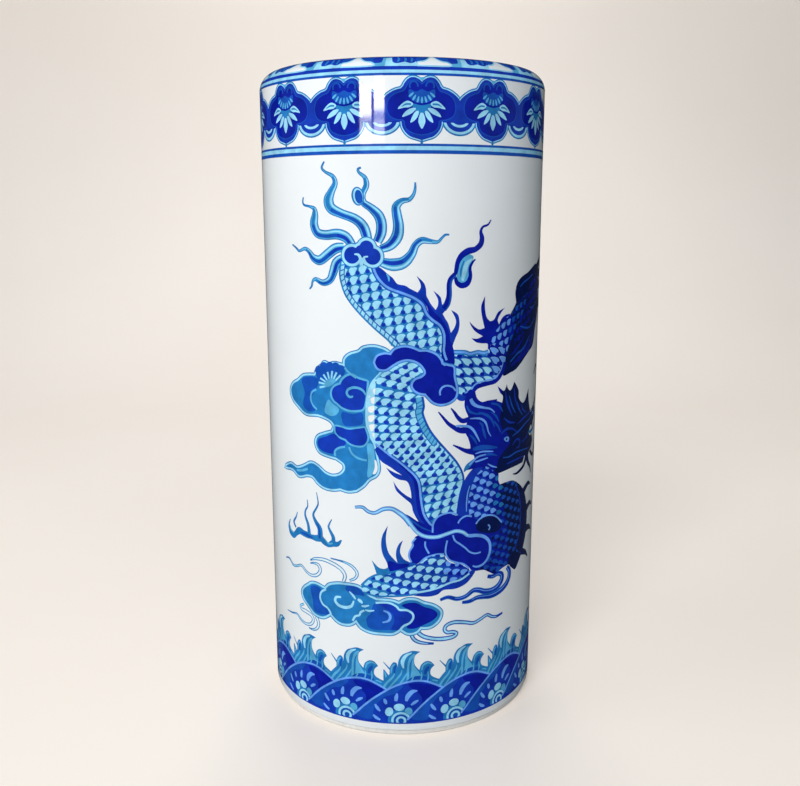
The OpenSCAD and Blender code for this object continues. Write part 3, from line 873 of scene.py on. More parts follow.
FOAM_SPRAY = [(5.0, 16.9, 0.15), (6.4, 15.3, 0.4), (8.2, 13.6, 0.9), (9.0, 12.4, 1.2)]


def crest(sheet, u, mask):
    """Foam over a swell, with three horns, fine lines and a spray to the right."""
    inside = sheet.fill(COBALT, moved(FOAM, u), mask)
    sheet.fill(AZURE, moved(closed_curve(FOAM_HORN), u), inside)
    sheet.fill(BLUE, moved(closed_curve(FOAM_DEEP), u), inside)
    for tone, points in FOAM_LINES:
        sheet.stroke(tone, moved(points, u), mask=inside)
    sheet.stroke(COBALT, moved(FOAM_SPRAY, u), mask=mask)


def small_spike(sheet, u, mask):
    """Thin spike of foam to the left of a crest."""
    sheet.stroke(COBALT, moved([(-5.9, 12.2, 1.6), (-6.2, 13.6, 1.2), (-6.7, 15.2, 0.2)], u), mask=mask)
    sheet.stroke(AZURE, moved([(-5.9, 12.4, 0.3), (-6.2, 13.6, 0.4), (-6.5, 14.6, 0.15)], u), mask=mask)


def make_waves():
    """Wave print around the foot, with spare waves over the seam."""
    sheet = Sheet()
    whole = band(sheet, WAVE_LOW, WAVE_TOP, WHITE)
    places = {i: FRONT_WAVE + (i - WAVES // 2) * WAVE_PITCH for i in range(-1, WAVES + 2)}
    for i, u in places.items():
        if i % 2 == 0:
            small_spike(sheet, u, whole)
        crest(sheet, u, whole)
    for u in places.values():
        wave(sheet, u, whole)
    band(sheet, WAVE_LOW, WAVE_LOW + WAVE_LINE, ROYAL)
    sheet.films("wave_print", ["wave_transfer"])


# Dragon sheet. Strokes are points with a width, and edges and areas are plain points

FLAME_CORE = 3
FLAME_HEART = 6


def flame(sheet, points):
    """Tongue of flame, root first: an outline, a light body, a bright line and a core darker at the root.

    FLAME_HEART and FLAME_CORE are how many points from the root its two darker stretches reach.
    """
    sheet.stroke(COBALT, points, grow=0.06)
    sheet.stroke(AZURE, points, grow=-0.36)
    sheet.stroke(SKY, points, share=0.15, shift=-0.26, least=0.12)
    sheet.stroke(COBALT, points, share=0.4, shift=0.12, least=0.3)
    sheet.stroke(BLUE, points[:FLAME_HEART], share=0.34, shift=0.12, least=0.3)
    sheet.stroke(ROYAL, points[:FLAME_CORE], share=0.26, shift=0.1, least=0.3)


TAIL_FLAMES = (
    [(-7, 102.2, 1.6), (-7.3, 103.9, 2.0), (-8, 105.6, 2.0), (-9.6, 106.9, 1.8), (-12.2, 107.8, 1.7),
     (-14.4, 108.8, 2.1), (-15, 110.3, 2.2), (-14.3, 111.9, 1.5), (-13.5, 113.4, 1.1), (-14, 114.7, 0.8),
     (-15.6, 115.5, 0.5), (-16.4, 116.3, 0.45), (-15.8, 117.4, 0.3)],
    [(-10, 101.8, 1.6), (-11.3, 103.4, 2.0), (-13.2, 104.0, 2.0), (-15.8, 103.8, 1.8),
     (-17.7, 104.2, 1.9), (-18.5, 105.8, 2.0), (-18.2, 107.6, 1.5), (-18.4, 108.7, 0.9),
     (-19.6, 109.15, 0.45), (-20.9, 109.4, 0.4), (-21.3, 110, 0.35), (-21.1, 110.9, 0.25)],
    [(-11.8, 101.6, 1.6), (-13.6, 101.3, 2.0), (-15.3, 100.2, 2.0), (-17.2, 99, 1.9), (-18.8, 99.4, 1.5),
     (-19.8, 100.5, 1.0), (-21, 101.1, 0.7), (-22.6, 100.6, 0.5), (-23.4, 101.1, 0.4),
     (-24.7, 101.8, 0.25)],
    [(-12.2, 99.6, 1.5), (-13.5, 98.6, 1.9), (-14.2, 96.8, 1.8), (-15, 95.3, 1.5), (-16.6, 94.7, 1.2),
     (-18.3, 95.3, 0.8), (-19.1, 94.9, 0.5), (-19.4, 93.9, 0.4), (-20, 93.3, 0.25)],
    [(-5.2, 102.6, 1.7), (-4.5, 104.2, 2.0), (-4.4, 106, 2.0), (-5, 107.6, 1.9), (-6.4, 108.9, 1.5),
     (-7.8, 109.9, 1.3), (-7.9, 111.4, 1.1), (-7.2, 113, 1.1), (-7.5, 114.4, 0.8), (-8.6, 115.3, 0.5),
     (-8.8, 115.9, 0.45), (-8.2, 116.2, 0.3)],
    [(-4.6, 101.3, 1.4), (-2.8, 102, 1.9), (-1.5, 103.6, 2.2), (-1.2, 105.6, 2.0), (-1.5, 107.6, 1.8),
     (-1.6, 109.1, 1.6), (-0.6, 110.1, 1.1), (0.8, 110.4, 0.8), (1.6, 111.3, 0.6), (1.9, 112.4, 0.45),
     (1.9, 113.5, 0.25)],
    [(-4.6, 98.9, 1.6), (-2.4, 98.4, 2.3), (-0.3, 98.8, 2.2), (1.2, 100.3, 1.7), (2, 102, 1.4),
     (3.2, 102.9, 1.3), (4.8, 102.7, 0.9), (6.2, 102.6, 0.6), (7, 103.3, 0.45), (7.7, 103.9, 0.4),
     (8.5, 103.9, 0.25)],
)


def tail_flames(sheet):
    """Seven flames at the end of the tail, and the round spot on one of them."""
    for points in TAIL_FLAMES:
        flame(sheet, points)
    sheet.fill(COBALT, ellipse(-8.9, 111.0, 1.25, 1.75, tilt=10, count=20))
    sheet.fill(SKY, ellipse(-8.85, 111.0, 0.95, 1.5, tilt=10, count=20))
    sheet.fill(BLUE, ellipse(-8.7, 110.9, 0.75, 1.3, tilt=10, count=20))


KNOT_LOBES = ((-10.2, 100.1, 1.6), (-7.3, 101.5, 1.4), (-6.1, 99.9, 1.55), (-8.4, 100.8, 1.2))
KNOT_RIMS = ((COBALT, 0.72), (SKY, 0.52), (ROYAL, 0.0))
KNOT_CURLS = (
    [(-9.7, 100.3, 0.25), (-8.9, 100.2, 0.5), (-8.45, 99.4, 0.6), (-8.3, 98.2, 0.7)],
    [(-7.0, 99.9, 0.25), (-7.8, 99.7, 0.4), (-7.9, 98.9, 0.4), (-7.4, 98.4, 0.3)],
)


def tail_knot(sheet):
    """Knot of four lobes that the flames grow from, with two curls."""
    for tone, rim in KNOT_RIMS:
        for u, v, r in KNOT_LOBES:
            sheet.fill(tone, ellipse(u, v, r + rim, r + rim, count=28))
    sheet.strokes(SKY, KNOT_CURLS)


TAIL_LEFT = [(-12.5, 98.8), (-12.8, 96.5), (-12.4, 94.5), (-11.5, 92.3), (-9.5, 89.8), (-6.2, 86.6),
             (-3.6, 84.4), (-1.5, 82.4)]
TAIL_RIGHT = [
    (-6.2, 98.6), (-5.6, 96.8), (-4.6, 95.3), (-3, 94), (0, 92.9), (2, 92), (3.4, 90.8), (4.1, 89.2),
    (5.2, 88), (6.8, 86.8), (7.6, 85.2), (7.7, 83.4), (7.6, 81.8), (8.2, 80),
]
TAIL_FIN = outline(
    [(-5.8, 98.3), (-4.6, 97.8), (-3.4, 96.8), (-2.3, 95.9), (-1.4, 94.8), (0, 94.5), (1, 93.9)],
    [(2.4, 93.2), (2.95, 94), (2.9, 94.9)],
    [(2.2, 96.3), (3.5, 95.1), (4.0, 93.9), (4.1, 92.6), (4.5, 91.8), (5.0, 90.9)],
    [(5.9, 89.8), (6.35, 90.7), (6.3, 91.9)],
    [(5.4, 93.5), (6.8, 92.3), (7.1, 91.2)],
    [(7.4, 90.2), (7.9, 89.8)],
    [(7.3, 89.0), (7.9, 88), (8.5, 87)],
    [(9.0, 85.3), (9.8, 86.4), (10, 87.8)],
    [(9.0, 89.7), (10.4, 88.8), (10.8, 87.2), (10.6, 85.6), (10, 84.3), (9.5, 83), (9.2, 81.8), (9.4, 80)],
    [(9.6, 78.6), (8.6, 79), (8.4, 80.4), (7.9, 82.2), (8.0, 84), (7.5, 86), (6.2, 87.5), (4.8, 88.5),
     (4.3, 90.3), (3, 91.8), (0.8, 92.9), (-2, 93.8), (-4, 94.9), (-5.2, 96.6)],
)
BELLY_RIM = 0.4
BELLY_SLANT = 0.4
BELLY_LINE = 0.24


def belly(sheet, edge, width, region, spacing=0.8, light=AZURE):
    """Pale belly plates along an edge of the body, with thin slanted lines between."""
    sheet.line(BLUE, edge, width * 2 + BELLY_RIM, mask=region)
    sheet.line(light, edge, width * 2, mask=region)
    line = evenly(edge, BELLY_STEPS)
    travelled = 0.0
    for a, b in zip(line, line[1:]):
        step = math.dist(a, b)
        travelled += step
        if travelled > spacing:
            travelled = 0.0
            du, dv = (b[0] - a[0]) / step * width, (b[1] - a[1]) / step * width
            ends = [(a[0] - dv - BELLY_SLANT * du, a[1] + du - BELLY_SLANT * dv, BELLY_LINE),
                    (a[0] + dv + BELLY_SLANT * du, a[1] - du + BELLY_SLANT * dv, BELLY_LINE)]
            sheet.stroke(COBALT, ends, mask=region)


def tail(sheet):
    """Scaly tail with pale plates along its left and a spined fin along its right."""
    region = sheet.fill(COBALT, outline(TAIL_LEFT, list(reversed(TAIL_RIGHT))))
    places = lattice(box=(-15, 79, 11, 100), start=(-5.35, 90.8), across=(1.97, 0.33), down=(0.17, -1.74))
    sheet.scales(region, places, cell=(1.78, 1.6, 4), knot=(0.84, -0.44, 0.92, 0.84))
    belly(sheet, TAIL_LEFT, 0.85, region, spacing=1.0, light=SKY)
    sheet.line(COBALT, TAIL_LEFT, 0.35)
    sheet.line(BLUE, TAIL_RIGHT, 1.0)
    sheet.fill(ROYAL, TAIL_FIN)
    sheet.blob(NAVY, [(3.2, 92.2), (4.2, 91.2), (5.8, 89.2), (7.4, 87.6), (8.6, 85.4), (9, 82.4),
                      (9.3, 79), (8.5, 79.6), (8.1, 83), (7.2, 86.3), (5, 88.4), (4.2, 90.4)])
    sheet.blob(NAVY, [(7.3, 83.2), (8.6, 84), (9.6, 82), (9.8, 79), (8.2, 78.4), (7.2, 80)])
    sheet.line(IRIS, TAIL_RIGHT, 0.45)
    sheet.stroke(AZURE, [(-3.5, 96.7, 0.15), (-3.1, 96.1, 0.4), (-3.0, 95.3, 0.2)])


def long_flame(sheet):
    """Long dark flame to the right of the tail, which splits around a pale leaf."""
    inside = [(10.1, 96), (10.2, 98.5), (11.4, 100.2), (13.5, 99.9), (13.4, 98.6), (12.8, 96),
              (11.6, 94.7), (10.3, 94.8)]
    sheet.blob(AZURE, inside)
    sheet.stroke(SKY, [(11.3, 95.2, 0.5), (11.7, 96.8, 0.9), (12.2, 98.4, 0.9), (13.4, 99.3, 0.3)])
    sheet.stroke(COBALT, [(10.9, 96, 0.2), (11, 97.4, 0.4), (11.6, 99, 0.3)])
    sheet.stroke(BLUE, [(7.4, 89.9, 1.3), (8.2, 91, 1.3), (8.6, 92.6, 1.1), (8.6, 94.6, 1.0),
                        (9.0, 95.7, 0.9), (9.9, 96.4, 0.7)])
    sheet.stroke(NAVY, [(7.4, 90.0, 0.9), (8.1, 91.1, 0.8), (8.35, 92.6, 0.65), (8.35, 94.6, 0.6),
                        (8.7, 95.7, 0.6), (9.6, 96.6, 0.6)])
    sheet.stroke(NAVY, [(9.8, 96.4, 0.7), (10.0, 97.4, 0.9), (10.3, 98.8, 1.0), (11.1, 100.0, 1.2),
                        (12.5, 100.8, 1.3), (14, 101.1, 1.1), (15.2, 102, 1.2), (15.5, 103.2, 1.1),
                        (15.2, 104.4, 0.7), (15.7, 105.3, 0.5), (16.9, 105.7, 0.4), (17.6, 106.6, 0.25)])
    sheet.stroke(NAVY, [(9.8, 95.9, 0.6), (10.2, 94.8, 0.9), (11.2, 94.3, 1.1), (12.4, 94.7, 1.1),
                        (13, 96, 0.85), (12.9, 97.6, 0.65), (13.5, 98.7, 0.45), (14.1, 99.2, 0.3)])


def cloud(sheet, points, tone, rim=0.38, edge=0.2, light=SKY):
    """Cloud with a light rim and a thin darker line around that."""
    sheet.rim(COBALT, points, 2 * (rim + edge))
    sheet.rim(light, points, 2 * rim)
    return sheet.fill(tone, points)


CENTRE_CLOUD = outline(
    [(-5.8, 79.7), (-5.3, 80.8), (-4, 81.3)],
    [(-2.7, 81.2), (-1.9, 82.2), (-0.3, 82.7), (1.2, 82.5)],
    [(2.8, 81.8), (4.2, 81.8), (5.8, 81.2), (6.8, 80.2)],
    [(7.2, 79.2), (8.6, 78.8), (9.6, 78.4), (9.7, 76.6), (10.1, 75.0), (10.3, 73.6), (9.9, 72.4),
     (8.6, 71.6), (7, 71.4), (5.6, 71.9), (4.6, 72.9)],
    [(4.0, 73.6), (2.8, 73.8), (1.8, 74.5), (1.5, 75.4), (2.1, 76.3), (3.2, 76.7), (4, 77.4)],
    [(4, 78.2), (3.3, 79.2), (2.2, 80), (0.6, 80.4), (-1, 80.1), (-2.4, 79.3), (-3.8, 78.4),
     (-5.2, 78.6)],
)


def centre_cloud(sheet):
    """Dark cloud in front of where the tail meets the trunk."""
    cloud(sheet, CENTRE_CLOUD, NAVY, rim=0.4, edge=0.15, light=IRIS)
    sheet.stroke(IRIS, [(6.95, 73.1, 0.3), (6.9, 73.9, 0.4), (7.4, 74.7, 0.4), (8.4, 74.95, 0.35),
                        (9.5, 74.6, 0.35), (10.2, 73.8, 0.35)])
    sheet.stroke(IRIS, [(7.3, 80.2, 0.3), (7.4, 79.4, 0.4), (8.0, 79.0, 0.4)])


TRUNK_LEFT = [
    (0.5, 80.6), (-2, 79.4), (-4, 78), (-5.7, 76.4), (-6.9, 74.4), (-7.4, 72), (-7.5, 69), (-7.1, 66.2),
    (-5.8, 63.5), (-3, 61.3), (-1.2, 60), (0.5, 58.5), (2, 57), (2.8, 55.3), (3.2, 52), (3.7, 49.2),
    (4.6, 47.5), (5.6, 46.4),
]
TRUNK_RIGHT = [
    (3.4, 79.4), (4.2, 77.8), (2.2, 75.8), (3.4, 73), (3.7, 71), (3.5, 69.5), (4.8, 66.4), (6.6, 63.9),
    (8.5, 61.7), (10.5, 59.3), (11.8, 57), (12.1, 55), (11.4, 52.5), (11, 50), (10.8, 48.2),
]
BACK_FIN = outline(
    [(-6, 62.3), (-4.8, 60.1), (-3, 58.9), (-1.6, 57.9)],
    [(-0.6, 57.2), (-2.2, 57.8)],
    [(-3.7, 58.7), (-2.6, 57.2), (-1.2, 56.3), (0.4, 55.9), (1.1, 54.2)],
    [(1.3, 52.4), (0, 53.2), (-1.3, 54.4)],
    [(-2.3, 55.9), (-1.7, 54), (-0.2, 52.5), (1.2, 51.2), (1.7, 49.4)],
    [(2.8, 47.3), (4, 46.2), (5.6, 45.2), (5.8, 46.2), (4.7, 47.4), (3.8, 49.2), (3.3, 52), (2.9, 55.3),
     (2.1, 57), (0.6, 58.5), (-1.1, 60), (-2.9, 61.3), (-5, 63)],
)
TRUNK_PAINTED_GLARE = [
    (-6.2, 75.8), (-5.7, 75.6), (-5.9, 73), (-6, 70), (-6, 66), (-6.1, 64.4), (-6.9, 66.2), (-7.3, 69),
    (-7.2, 72), (-6.8, 74.2),
]


def trunk(sheet):
    """Scaly trunk with a painted highlight strip on its left, plates on its right and a spined fin at its
    back.
    """
    region = sheet.fill(COBALT, outline(TRUNK_LEFT, list(reversed(TRUNK_RIGHT))))
    places = along_body(TRUNK_LEFT, TRUNK_RIGHT, pitch=(2.1, 1.72), shear=0.82)
    cell, knot = (2.06, 1.38, 12), (0.76, -0.52, 1.16, 0.88)
    sheet.scales(region, places, cell=cell, knot=knot)
    # Painted highlight: a pale strip with white scales, standing for a window's glare along the trunk's left
    # edge
    strip = sheet.blob(SKY, TRUNK_PAINTED_GLARE, region)
    sheet.scales(strip, places, cell=cell, knot=knot, tones=(WHITE, SKY))
    sheet.line(SKY, TRUNK_LEFT[3:9], 0.5)
    belly(sheet, TRUNK_RIGHT[3:8], 1.3, region, spacing=0.75)
    sheet.line(BLUE, TRUNK_RIGHT[3:], 0.45)
    sheet.line(AZURE, TRUNK_LEFT[:4], 0.35)
    sheet.fill(ROYAL, BACK_FIN)
    sheet.blob(NAVY, [(-1.4, 59.6), (0.6, 57.6), (1.8, 55.6), (2.2, 52), (2.8, 48.8), (4.6, 46.2),
                      (4.4, 47.6), (3.4, 50.6), (2.9, 54.4), (2, 56.8), (0.4, 58.5)])
    sheet.line(IRIS, TRUNK_LEFT[8:], 0.4)
    sheet.line(BLUE, moved(TRUNK_LEFT[9:], 0.35, 0.1), 0.25)


HIND_TOP = [(9.4, 81.5), (12, 81.3), (13.2, 80.9), (15, 81.1), (16.4, 80.8), (17.6, 81.0)]
HIND_KNEE = [(17.6, 81.0), (18.4, 82.4), (20, 82.4), (21.6, 81.4), (22.6, 79.8)]
HIND_LOW = [
    (22.6, 79.8), (22.3, 78.4), (21.9, 77.2), (21, 75.8), (19.5, 74.8), (17.5, 74.6), (15, 74.2),
    (13.6, 73), (12.4, 72.6), (11, 72.9), (10, 74.4), (9.5, 77.6),
]
LEG = outline(
    [(18, 81.4), (18.6, 84.2), (20.2, 85.8), (21.2, 87.2), (22.4, 87.8), (24, 87.9), (25.2, 89.4),
     (26.8, 90.4), (28.6, 91.2)],
    [(30.4, 91.8), (29.4, 89.6), (28, 87.4), (26.4, 85.6), (24.8, 83.6), (23.4, 81.6)],
    [(22.5, 79.4), (21.4, 81), (19.8, 81.8)],
)
LEG_FUR_SHADE = [
    (21.8, 75.7), (21.6, 78), (22, 81), (23.6, 84.6), (26, 88), (28.6, 90.6), (30.6, 91.6), (33, 91.8),
    (35, 93), (38, 92.4), (38.6, 88), (36, 83.6), (34.6, 80.6), (32, 79.4), (30, 78.5), (28, 77.4),
    (26, 76.4), (24, 76),
]
LEG_TUFT_SHADE = [
    (23.6, 87.6), (25.2, 89.6), (25.5, 90.4), (25.2, 92), (25.6, 93.6), (26.6, 94.7), (28.2, 95.4),
    (30.5, 96), (32.6, 96.8), (35, 97.4), (37.4, 96.4), (38, 94), (36, 92.4), (33, 91), (30.4, 89.6),
    (28, 88.4), (26, 87.4),
]
LEG_SHAFT = [
    (25.4, 82), (26.6, 87), (29, 90.6), (32, 93.4), (35, 95.4), (37, 95), (37.6, 92.4), (35.8, 89.4),
    (33, 87), (30, 84.6), (27.4, 82.2),
]
LEG_HAIR = (
    [(24.4, 77.4, 0.3), (27.6, 78.9, 0.7), (30.6, 81, 0.6), (33.4, 84.4, 0.2)],
    [(27, 77.9, 0.3), (30, 79.3, 0.7), (32.8, 81.6, 0.6), (35, 84.8, 0.2)],
    [(24.2, 79.6, 0.3), (26.4, 80.8, 0.6), (29.4, 83, 0.2)],
    [(30.6, 79.2, 0.3), (33.2, 81, 0.6), (36, 84.6, 0.2)],
)
LEG_LIGHTS = (
    [(24, 78.2, 0.2), (26.4, 79.6, 0.4), (29, 80.4, 0.4), (32, 82.6, 0.2)],
    [(27.4, 85.2, 0.2), (29.6, 84.6, 0.4), (32.6, 84.6, 0.4), (35.4, 86.2, 0.2)],
    [(27, 93.2, 0.2), (28.4, 94, 0.4), (30.6, 94.6, 0.3), (33, 95.4, 0.2)],
    [(31.6, 88.8, 0.2), (33.6, 88.4, 0.4), (36.2, 89.4, 0.2)],
)
CLAWS = (
    ((36, 96.4, 2.0), (38.8, 98, 1.6), (40.6, 100.4, 1.1), (41.4, 103.2, 0.3)),
    ((36.6, 95.2, 2.0), (39.8, 95.6, 1.6), (42.4, 97.2, 1.1), (44, 99.8, 0.3)),
    ((37, 93.6, 2.0), (39.8, 92.6, 1.6), (42, 93.2, 1.1), (44.4, 95, 0.3)),
    ((37.4, 90.4, 1.8), (39.4, 88.6, 1.4), (41.4, 88.4, 1.0), (43.4, 89.6, 0.3)),
)
HIND_FIN = outline(
    [(17.4, 81.6), (17.3, 82.6), (16, 82.8), (14.6, 83.1)],
    [(13.4, 84), (14.8, 83.8)],
    [(16.1, 84.2), (14.4, 85.2), (13.4, 86.3)],
    [(12.9, 87.3), (14, 86.3), (15.2, 85.6)],
    [(16.5, 85.8), (15.8, 88.2), (15.6, 90.2)],
    [(16.5, 92.1), (16.5, 90), (16.9, 88)],
    [(17.9, 87), (18.9, 87.3), (20, 88.7)],
    [(21.9, 89.4), (20.8, 88.5), (19.9, 87.2)],
    [(20.3, 86.2), (21.1, 87.4), (22.4, 88.0)],
    [(23.9, 88.0), (22, 87.2), (20.4, 85.8), (18.9, 84.4), (18.2, 82.6), (17.9, 81.4)],
)
LEG_LIT_END = 23.6
HIND_SHADED_START = 18


def leg(sheet):
    """Leg that reaches up to the right, with hair and scales, and painted shade nearly black where it turns
    away.
    """
    sheet.stroke(NAVY, [(9.2, 82.6, 0.3), (9.4, 81, 1.2), (9.7, 78.4, 1.2), (10, 75.4, 1.0)])
    # Painted shade: fur, tuft and shaft of the leg filled nearly black where the leg turns away
    sheet.blob(INK_AND_PAINTED_SHADE, LEG_FUR_SHADE)
    sheet.blob(INK_AND_PAINTED_SHADE, LEG_TUFT_SHADE)
    shaft = sheet.blob(INK_AND_PAINTED_SHADE, LEG_SHAFT)
    places = lattice(box=(24, 80, 40, 98), start=(26, 86), across=(1.6, 0.5), down=(0.5, -1.6))
    sheet.scales(shaft, places, cell=(1.5, 1.1, 10), knot=(0.7, -0.56, 0.8, 0.7), tones=(NAVY, INK_AND_PAINTED_SHADE))
    sheet.strokes(NAVY, LEG_HAIR)
    region = sheet.fill(NAVY, LEG)
    # Painted shade on the leg's far part
    sheet.blob(INK_AND_PAINTED_SHADE, [(24, 89), (26.4, 90.8), (31, 92.4), (30, 88), (27, 85), (24.6, 82),
                     (25.2, 85.4)], region)
    places = lattice(box=(17, 79, 31, 93), start=(19, 83.3), across=(1.6, 0.5), down=(0.5, -1.6))
    sheet.scales(region, places, cell=(1.4, 1.05, 10), knot=(0.66, -0.56, 0.8, 0.7), tones=(BLUE, NAVY))
    # Painted light: brighter scales on the leg's near, lit part
    near = [p for p in places if p[0] < LEG_LIT_END]
    sheet.scales(region, near, cell=(1.5, 1.15, 10), knot=(0.7, -0.6, 0.9, 0.75), tones=(IRIS, NAVY))


def hind_quarter(sheet):
    """Scaly hind quarter in front of the leg, with a spined fin, and the claws at the leg's end."""
    sheet.blob(ROYAL, [(10.2, 73.8), (10.3, 72.4), (11.2, 71.7), (12.4, 71.8), (13.4, 72.8), (12.6, 73.8),
                       (11.4, 74)])
    region = sheet.fill(BLUE, outline(HIND_TOP, HIND_KNEE, HIND_LOW))
    # Painted shade: the hind quarter's right end darker, and its scales dimmer from there
    sheet.blob(NAVY, [(18.6, 83), (18, 80), (19.4, 77.6), (19.6, 74.4), (22, 75.8), (23, 80)], region)
    places = lattice(box=(8, 71, 24, 84), start=(12.4, 79.4), across=(2.32, -0.1), down=(0.3, -1.9))
    sheet.scales(region, places, cell=(-2.5, 1.3, -14), knot=(-1.2, -0.72, 1.1, 0.85), tones=(SKY, NAVY))
    shaded_places = [p for p in places if p[0] > HIND_SHADED_START]
    sheet.scales(region, shaded_places, cell=(-2.3, 1.2, -14), knot=(-1.2, -0.72, 1.1, 0.85), tones=(IRIS, NAVY))
    sheet.line(COBALT, HIND_TOP, 0.95)
    sheet.line(IRIS, HIND_TOP, 0.4)
    sheet.line(IRIS, moved(HIND_LOW[1:9], -0.3, 0.65), 0.3, mask=region)
    sheet.line(NAVY, HIND_LOW[1:9], 0.9)
    sheet.fill(NAVY, HIND_FIN)
    sheet.strokes(BLUE, LEG_LIGHTS)
    for tip in CLAWS:
        sheet.stroke(INK_AND_PAINTED_SHADE, tip)
        sheet.stroke(IRIS, [(*tip[1][:2], 0.4), *tip[2:]], share=0.35, shift=0.12, least=0.12)


MANE = (
    [(20, 69.6, 3.0), (17.6, 69.9, 2.4), (15.4, 70.0, 1.8), (14, 71.0, 1.2), (13.2, 72.5, 0.6)],
    [(20, 66.8, 3.0), (17.4, 67.0, 2.4), (15.6, 67.8, 1.7), (13.8, 67.9, 1.2), (11.8, 67.6, 1.0),
     (10.7, 68.4, 0.8), (10, 69.4, 0.6), (9.2, 70.4, 0.25)],
    [(18.4, 63.4, 3.6), (15.8, 64.6, 2.8), (13.6, 65.7, 1.8), (11.4, 65.7, 1.2), (9.8, 66.5, 0.9),
     (8.6, 67.4, 0.7), (7.6, 68.6, 0.5), (6.6, 69.8, 0.25)],
    [(19.5, 60.6, 3.4), (16.4, 61.2, 2.6), (14.2, 61.1, 1.5), (12.6, 61.4, 0.9), (11.2, 62.1, 0.6),
     (9.7, 62.9, 0.25)],
    [(19, 58.4, 2.2), (16, 58.4, 1.8), (14, 58.0, 1.2), (12.5, 57.5, 0.4)],
)
MANE_LIGHTS = (
    [(13.5, 71.9, 0.7), (14, 71.0, 0.8), (15, 70.3, 0.6), (16.6, 69.8, 0.45), (18.4, 69.3, 0.35),
     (19.6, 68.4, 0.2)],
    [(13.4, 67.9, 0.2), (15.6, 67.7, 0.4), (17, 66.9, 0.45), (17.6, 65.8, 0.4), (18, 64.6, 0.3),
     (18.7, 63.6, 0.15)],
    [(10.3, 66.7, 0.4), (11.6, 66.6, 0.5), (13.2, 66.3, 0.5), (14.2, 65.5, 0.5), (15, 64.3, 0.45),
     (15.8, 62.9, 0.2)],
    [(14.8, 58.8, 0.3), (16.4, 59, 0.4), (18, 59.2, 0.2)],
    [(18, 57.9, 0.2), (19.2, 57.2, 0.35), (20.6, 56.7, 0.15)],
    [(14.8, 60.5, 0.2), (16.6, 60.7, 0.36), (19.4, 60.3, 0.2)],
    [(13.4, 58.3, 0.3), (15.2, 59.7, 0.4), (17.4, 60.0, 0.2)],
)
MANE_SHEEN = (
    [(14.2, 61.5, 0.6), (16, 61.6, 1.0), (18, 61.4, 0.9), (20.6, 60.9, 0.3)],
    [(16.6, 65.6, 0.3), (16.9, 64.4, 0.6), (17.4, 63.2, 0.2)],
    [(15.4, 68.9, 0.3), (17.4, 68.2, 0.6), (18.8, 67, 0.5), (19.6, 65.4, 0.2)],
    [(18.6, 70.4, 0.3), (20.6, 69.8, 0.5), (22, 68.2, 0.2)],
    [(19.4, 66.6, 0.3), (20.6, 65.4, 0.5), (21.4, 64, 0.2)],
    [(16.4, 59.8, 0.3), (18.4, 59.9, 0.5), (20.6, 59.2, 0.2)],
    [(24, 71.2, 0.2), (25, 69, 0.4), (26.4, 67.2, 0.2)],
    [(27, 69.4, 0.2), (28, 67.6, 0.4), (29.4, 66.2, 0.2)],
    [(12.6, 70.6, 0.3), (13.4, 69.3, 0.5), (15, 68.7, 0.3), (16.6, 68.5, 0.15)],
    [(13.4, 64.6, 0.2), (14.4, 63.6, 0.5), (15.2, 62.4, 0.2)],
    [(15.6, 66.9, 0.2), (16.4, 66.2, 0.5), (16.5, 65, 0.2)],
    [(18.6, 68.6, 0.2), (20, 67.6, 0.45), (20.9, 66.2, 0.2)],
)
MANE_MASS = outline(
    [(14.5, 73.4), (15.0, 71.9), (16.2, 71.0), (18, 70.9), (19.8, 70.8)],
    [(21.7, 70.1), (21.9, 71.4), (21.0, 72.3)],
    [(20.2, 73.8), (21.3, 73.0), (22.3, 72.5)],
    [(23.1, 73.8), (23.4, 72.9), (24.4, 72.3)],
    [(25.7, 73.9), (26.7, 72.8), (27.5, 71.6), (27.5, 70.4), (28.2, 69.5), (29.4, 68.8), (30.6, 69.2)],
    [(32.4, 71.4), (32.6, 69.4), (33.4, 67.2), (34.6, 65.8), (36.2, 67), (37.8, 66.4), (38, 64.4)],
    [(36.6, 63.2), (34.8, 62.8)],
    [(33.4, 61.6), (34.4, 60.6)],
    [(36, 60.4), (36.5, 59), (35.6, 57.7)],
    [(34.2, 57.6), (33.4, 56.5), (31.8, 56.6)],
    [(31, 57), (30.2, 55.8), (28.6, 55.7), (25, 55.6)],
    [(21, 55.3), (20, 55.8), (18.4, 57), (16.6, 57.8), (14.8, 58.6), (14.5, 60), (13.7, 61.2),
     (13.5, 62.6), (13, 64), (12.4, 65.2), (12.6, 66.8), (13, 68.2), (12.4, 69.6), (12.1, 70.8),
     (12.3, 72.4), (13.2, 73.8)],
)
MANE_SHADE = [
    (21.9, 74), (21.8, 70), (21.2, 67), (22, 64.4), (23.6, 63.4), (24.6, 61), (22, 59.4), (20.8, 57.6),
    (20.4, 55), (29, 55), (37, 56), (39, 62), (38, 68), (32, 72), (26, 75),
]
FACE_LINES = (
    [(21.6, 63.6, 0.3), (23.4, 64.3, 0.6), (25.6, 63.9, 0.4), (27.2, 62.9, 0.2)],
    [(25.6, 60.4, 0.2), (27, 61.4, 0.4), (28.5, 60.9, 0.4), (28.3, 59.7, 0.35), (27, 59.5, 0.2)],
    [(27.4, 64.6, 0.2), (30, 65.4, 0.5), (33, 65.8, 0.4), (35.4, 66.5, 0.2)],
    [(22.6, 72.4, 0.2), (23.4, 69.6, 0.6), (25.2, 66.8, 0.2)],
    [(25.6, 72.6, 0.2), (26.2, 70.2, 0.5), (27.6, 67.6, 0.2)],
    [(28.8, 68.6, 0.2), (29.8, 67.2, 0.5), (31.6, 66.2, 0.2)],
    [(22.4, 66.8, 0.2), (24.2, 65.6, 0.5), (26.4, 65.2, 0.2)],
    [(29.4, 60.2, 0.2), (31.2, 60.6, 0.4), (33, 61.4, 0.2)],
    [(23.6, 56.8, 0.2), (26.8, 57, 0.4), (30.4, 57, 0.2)],
)
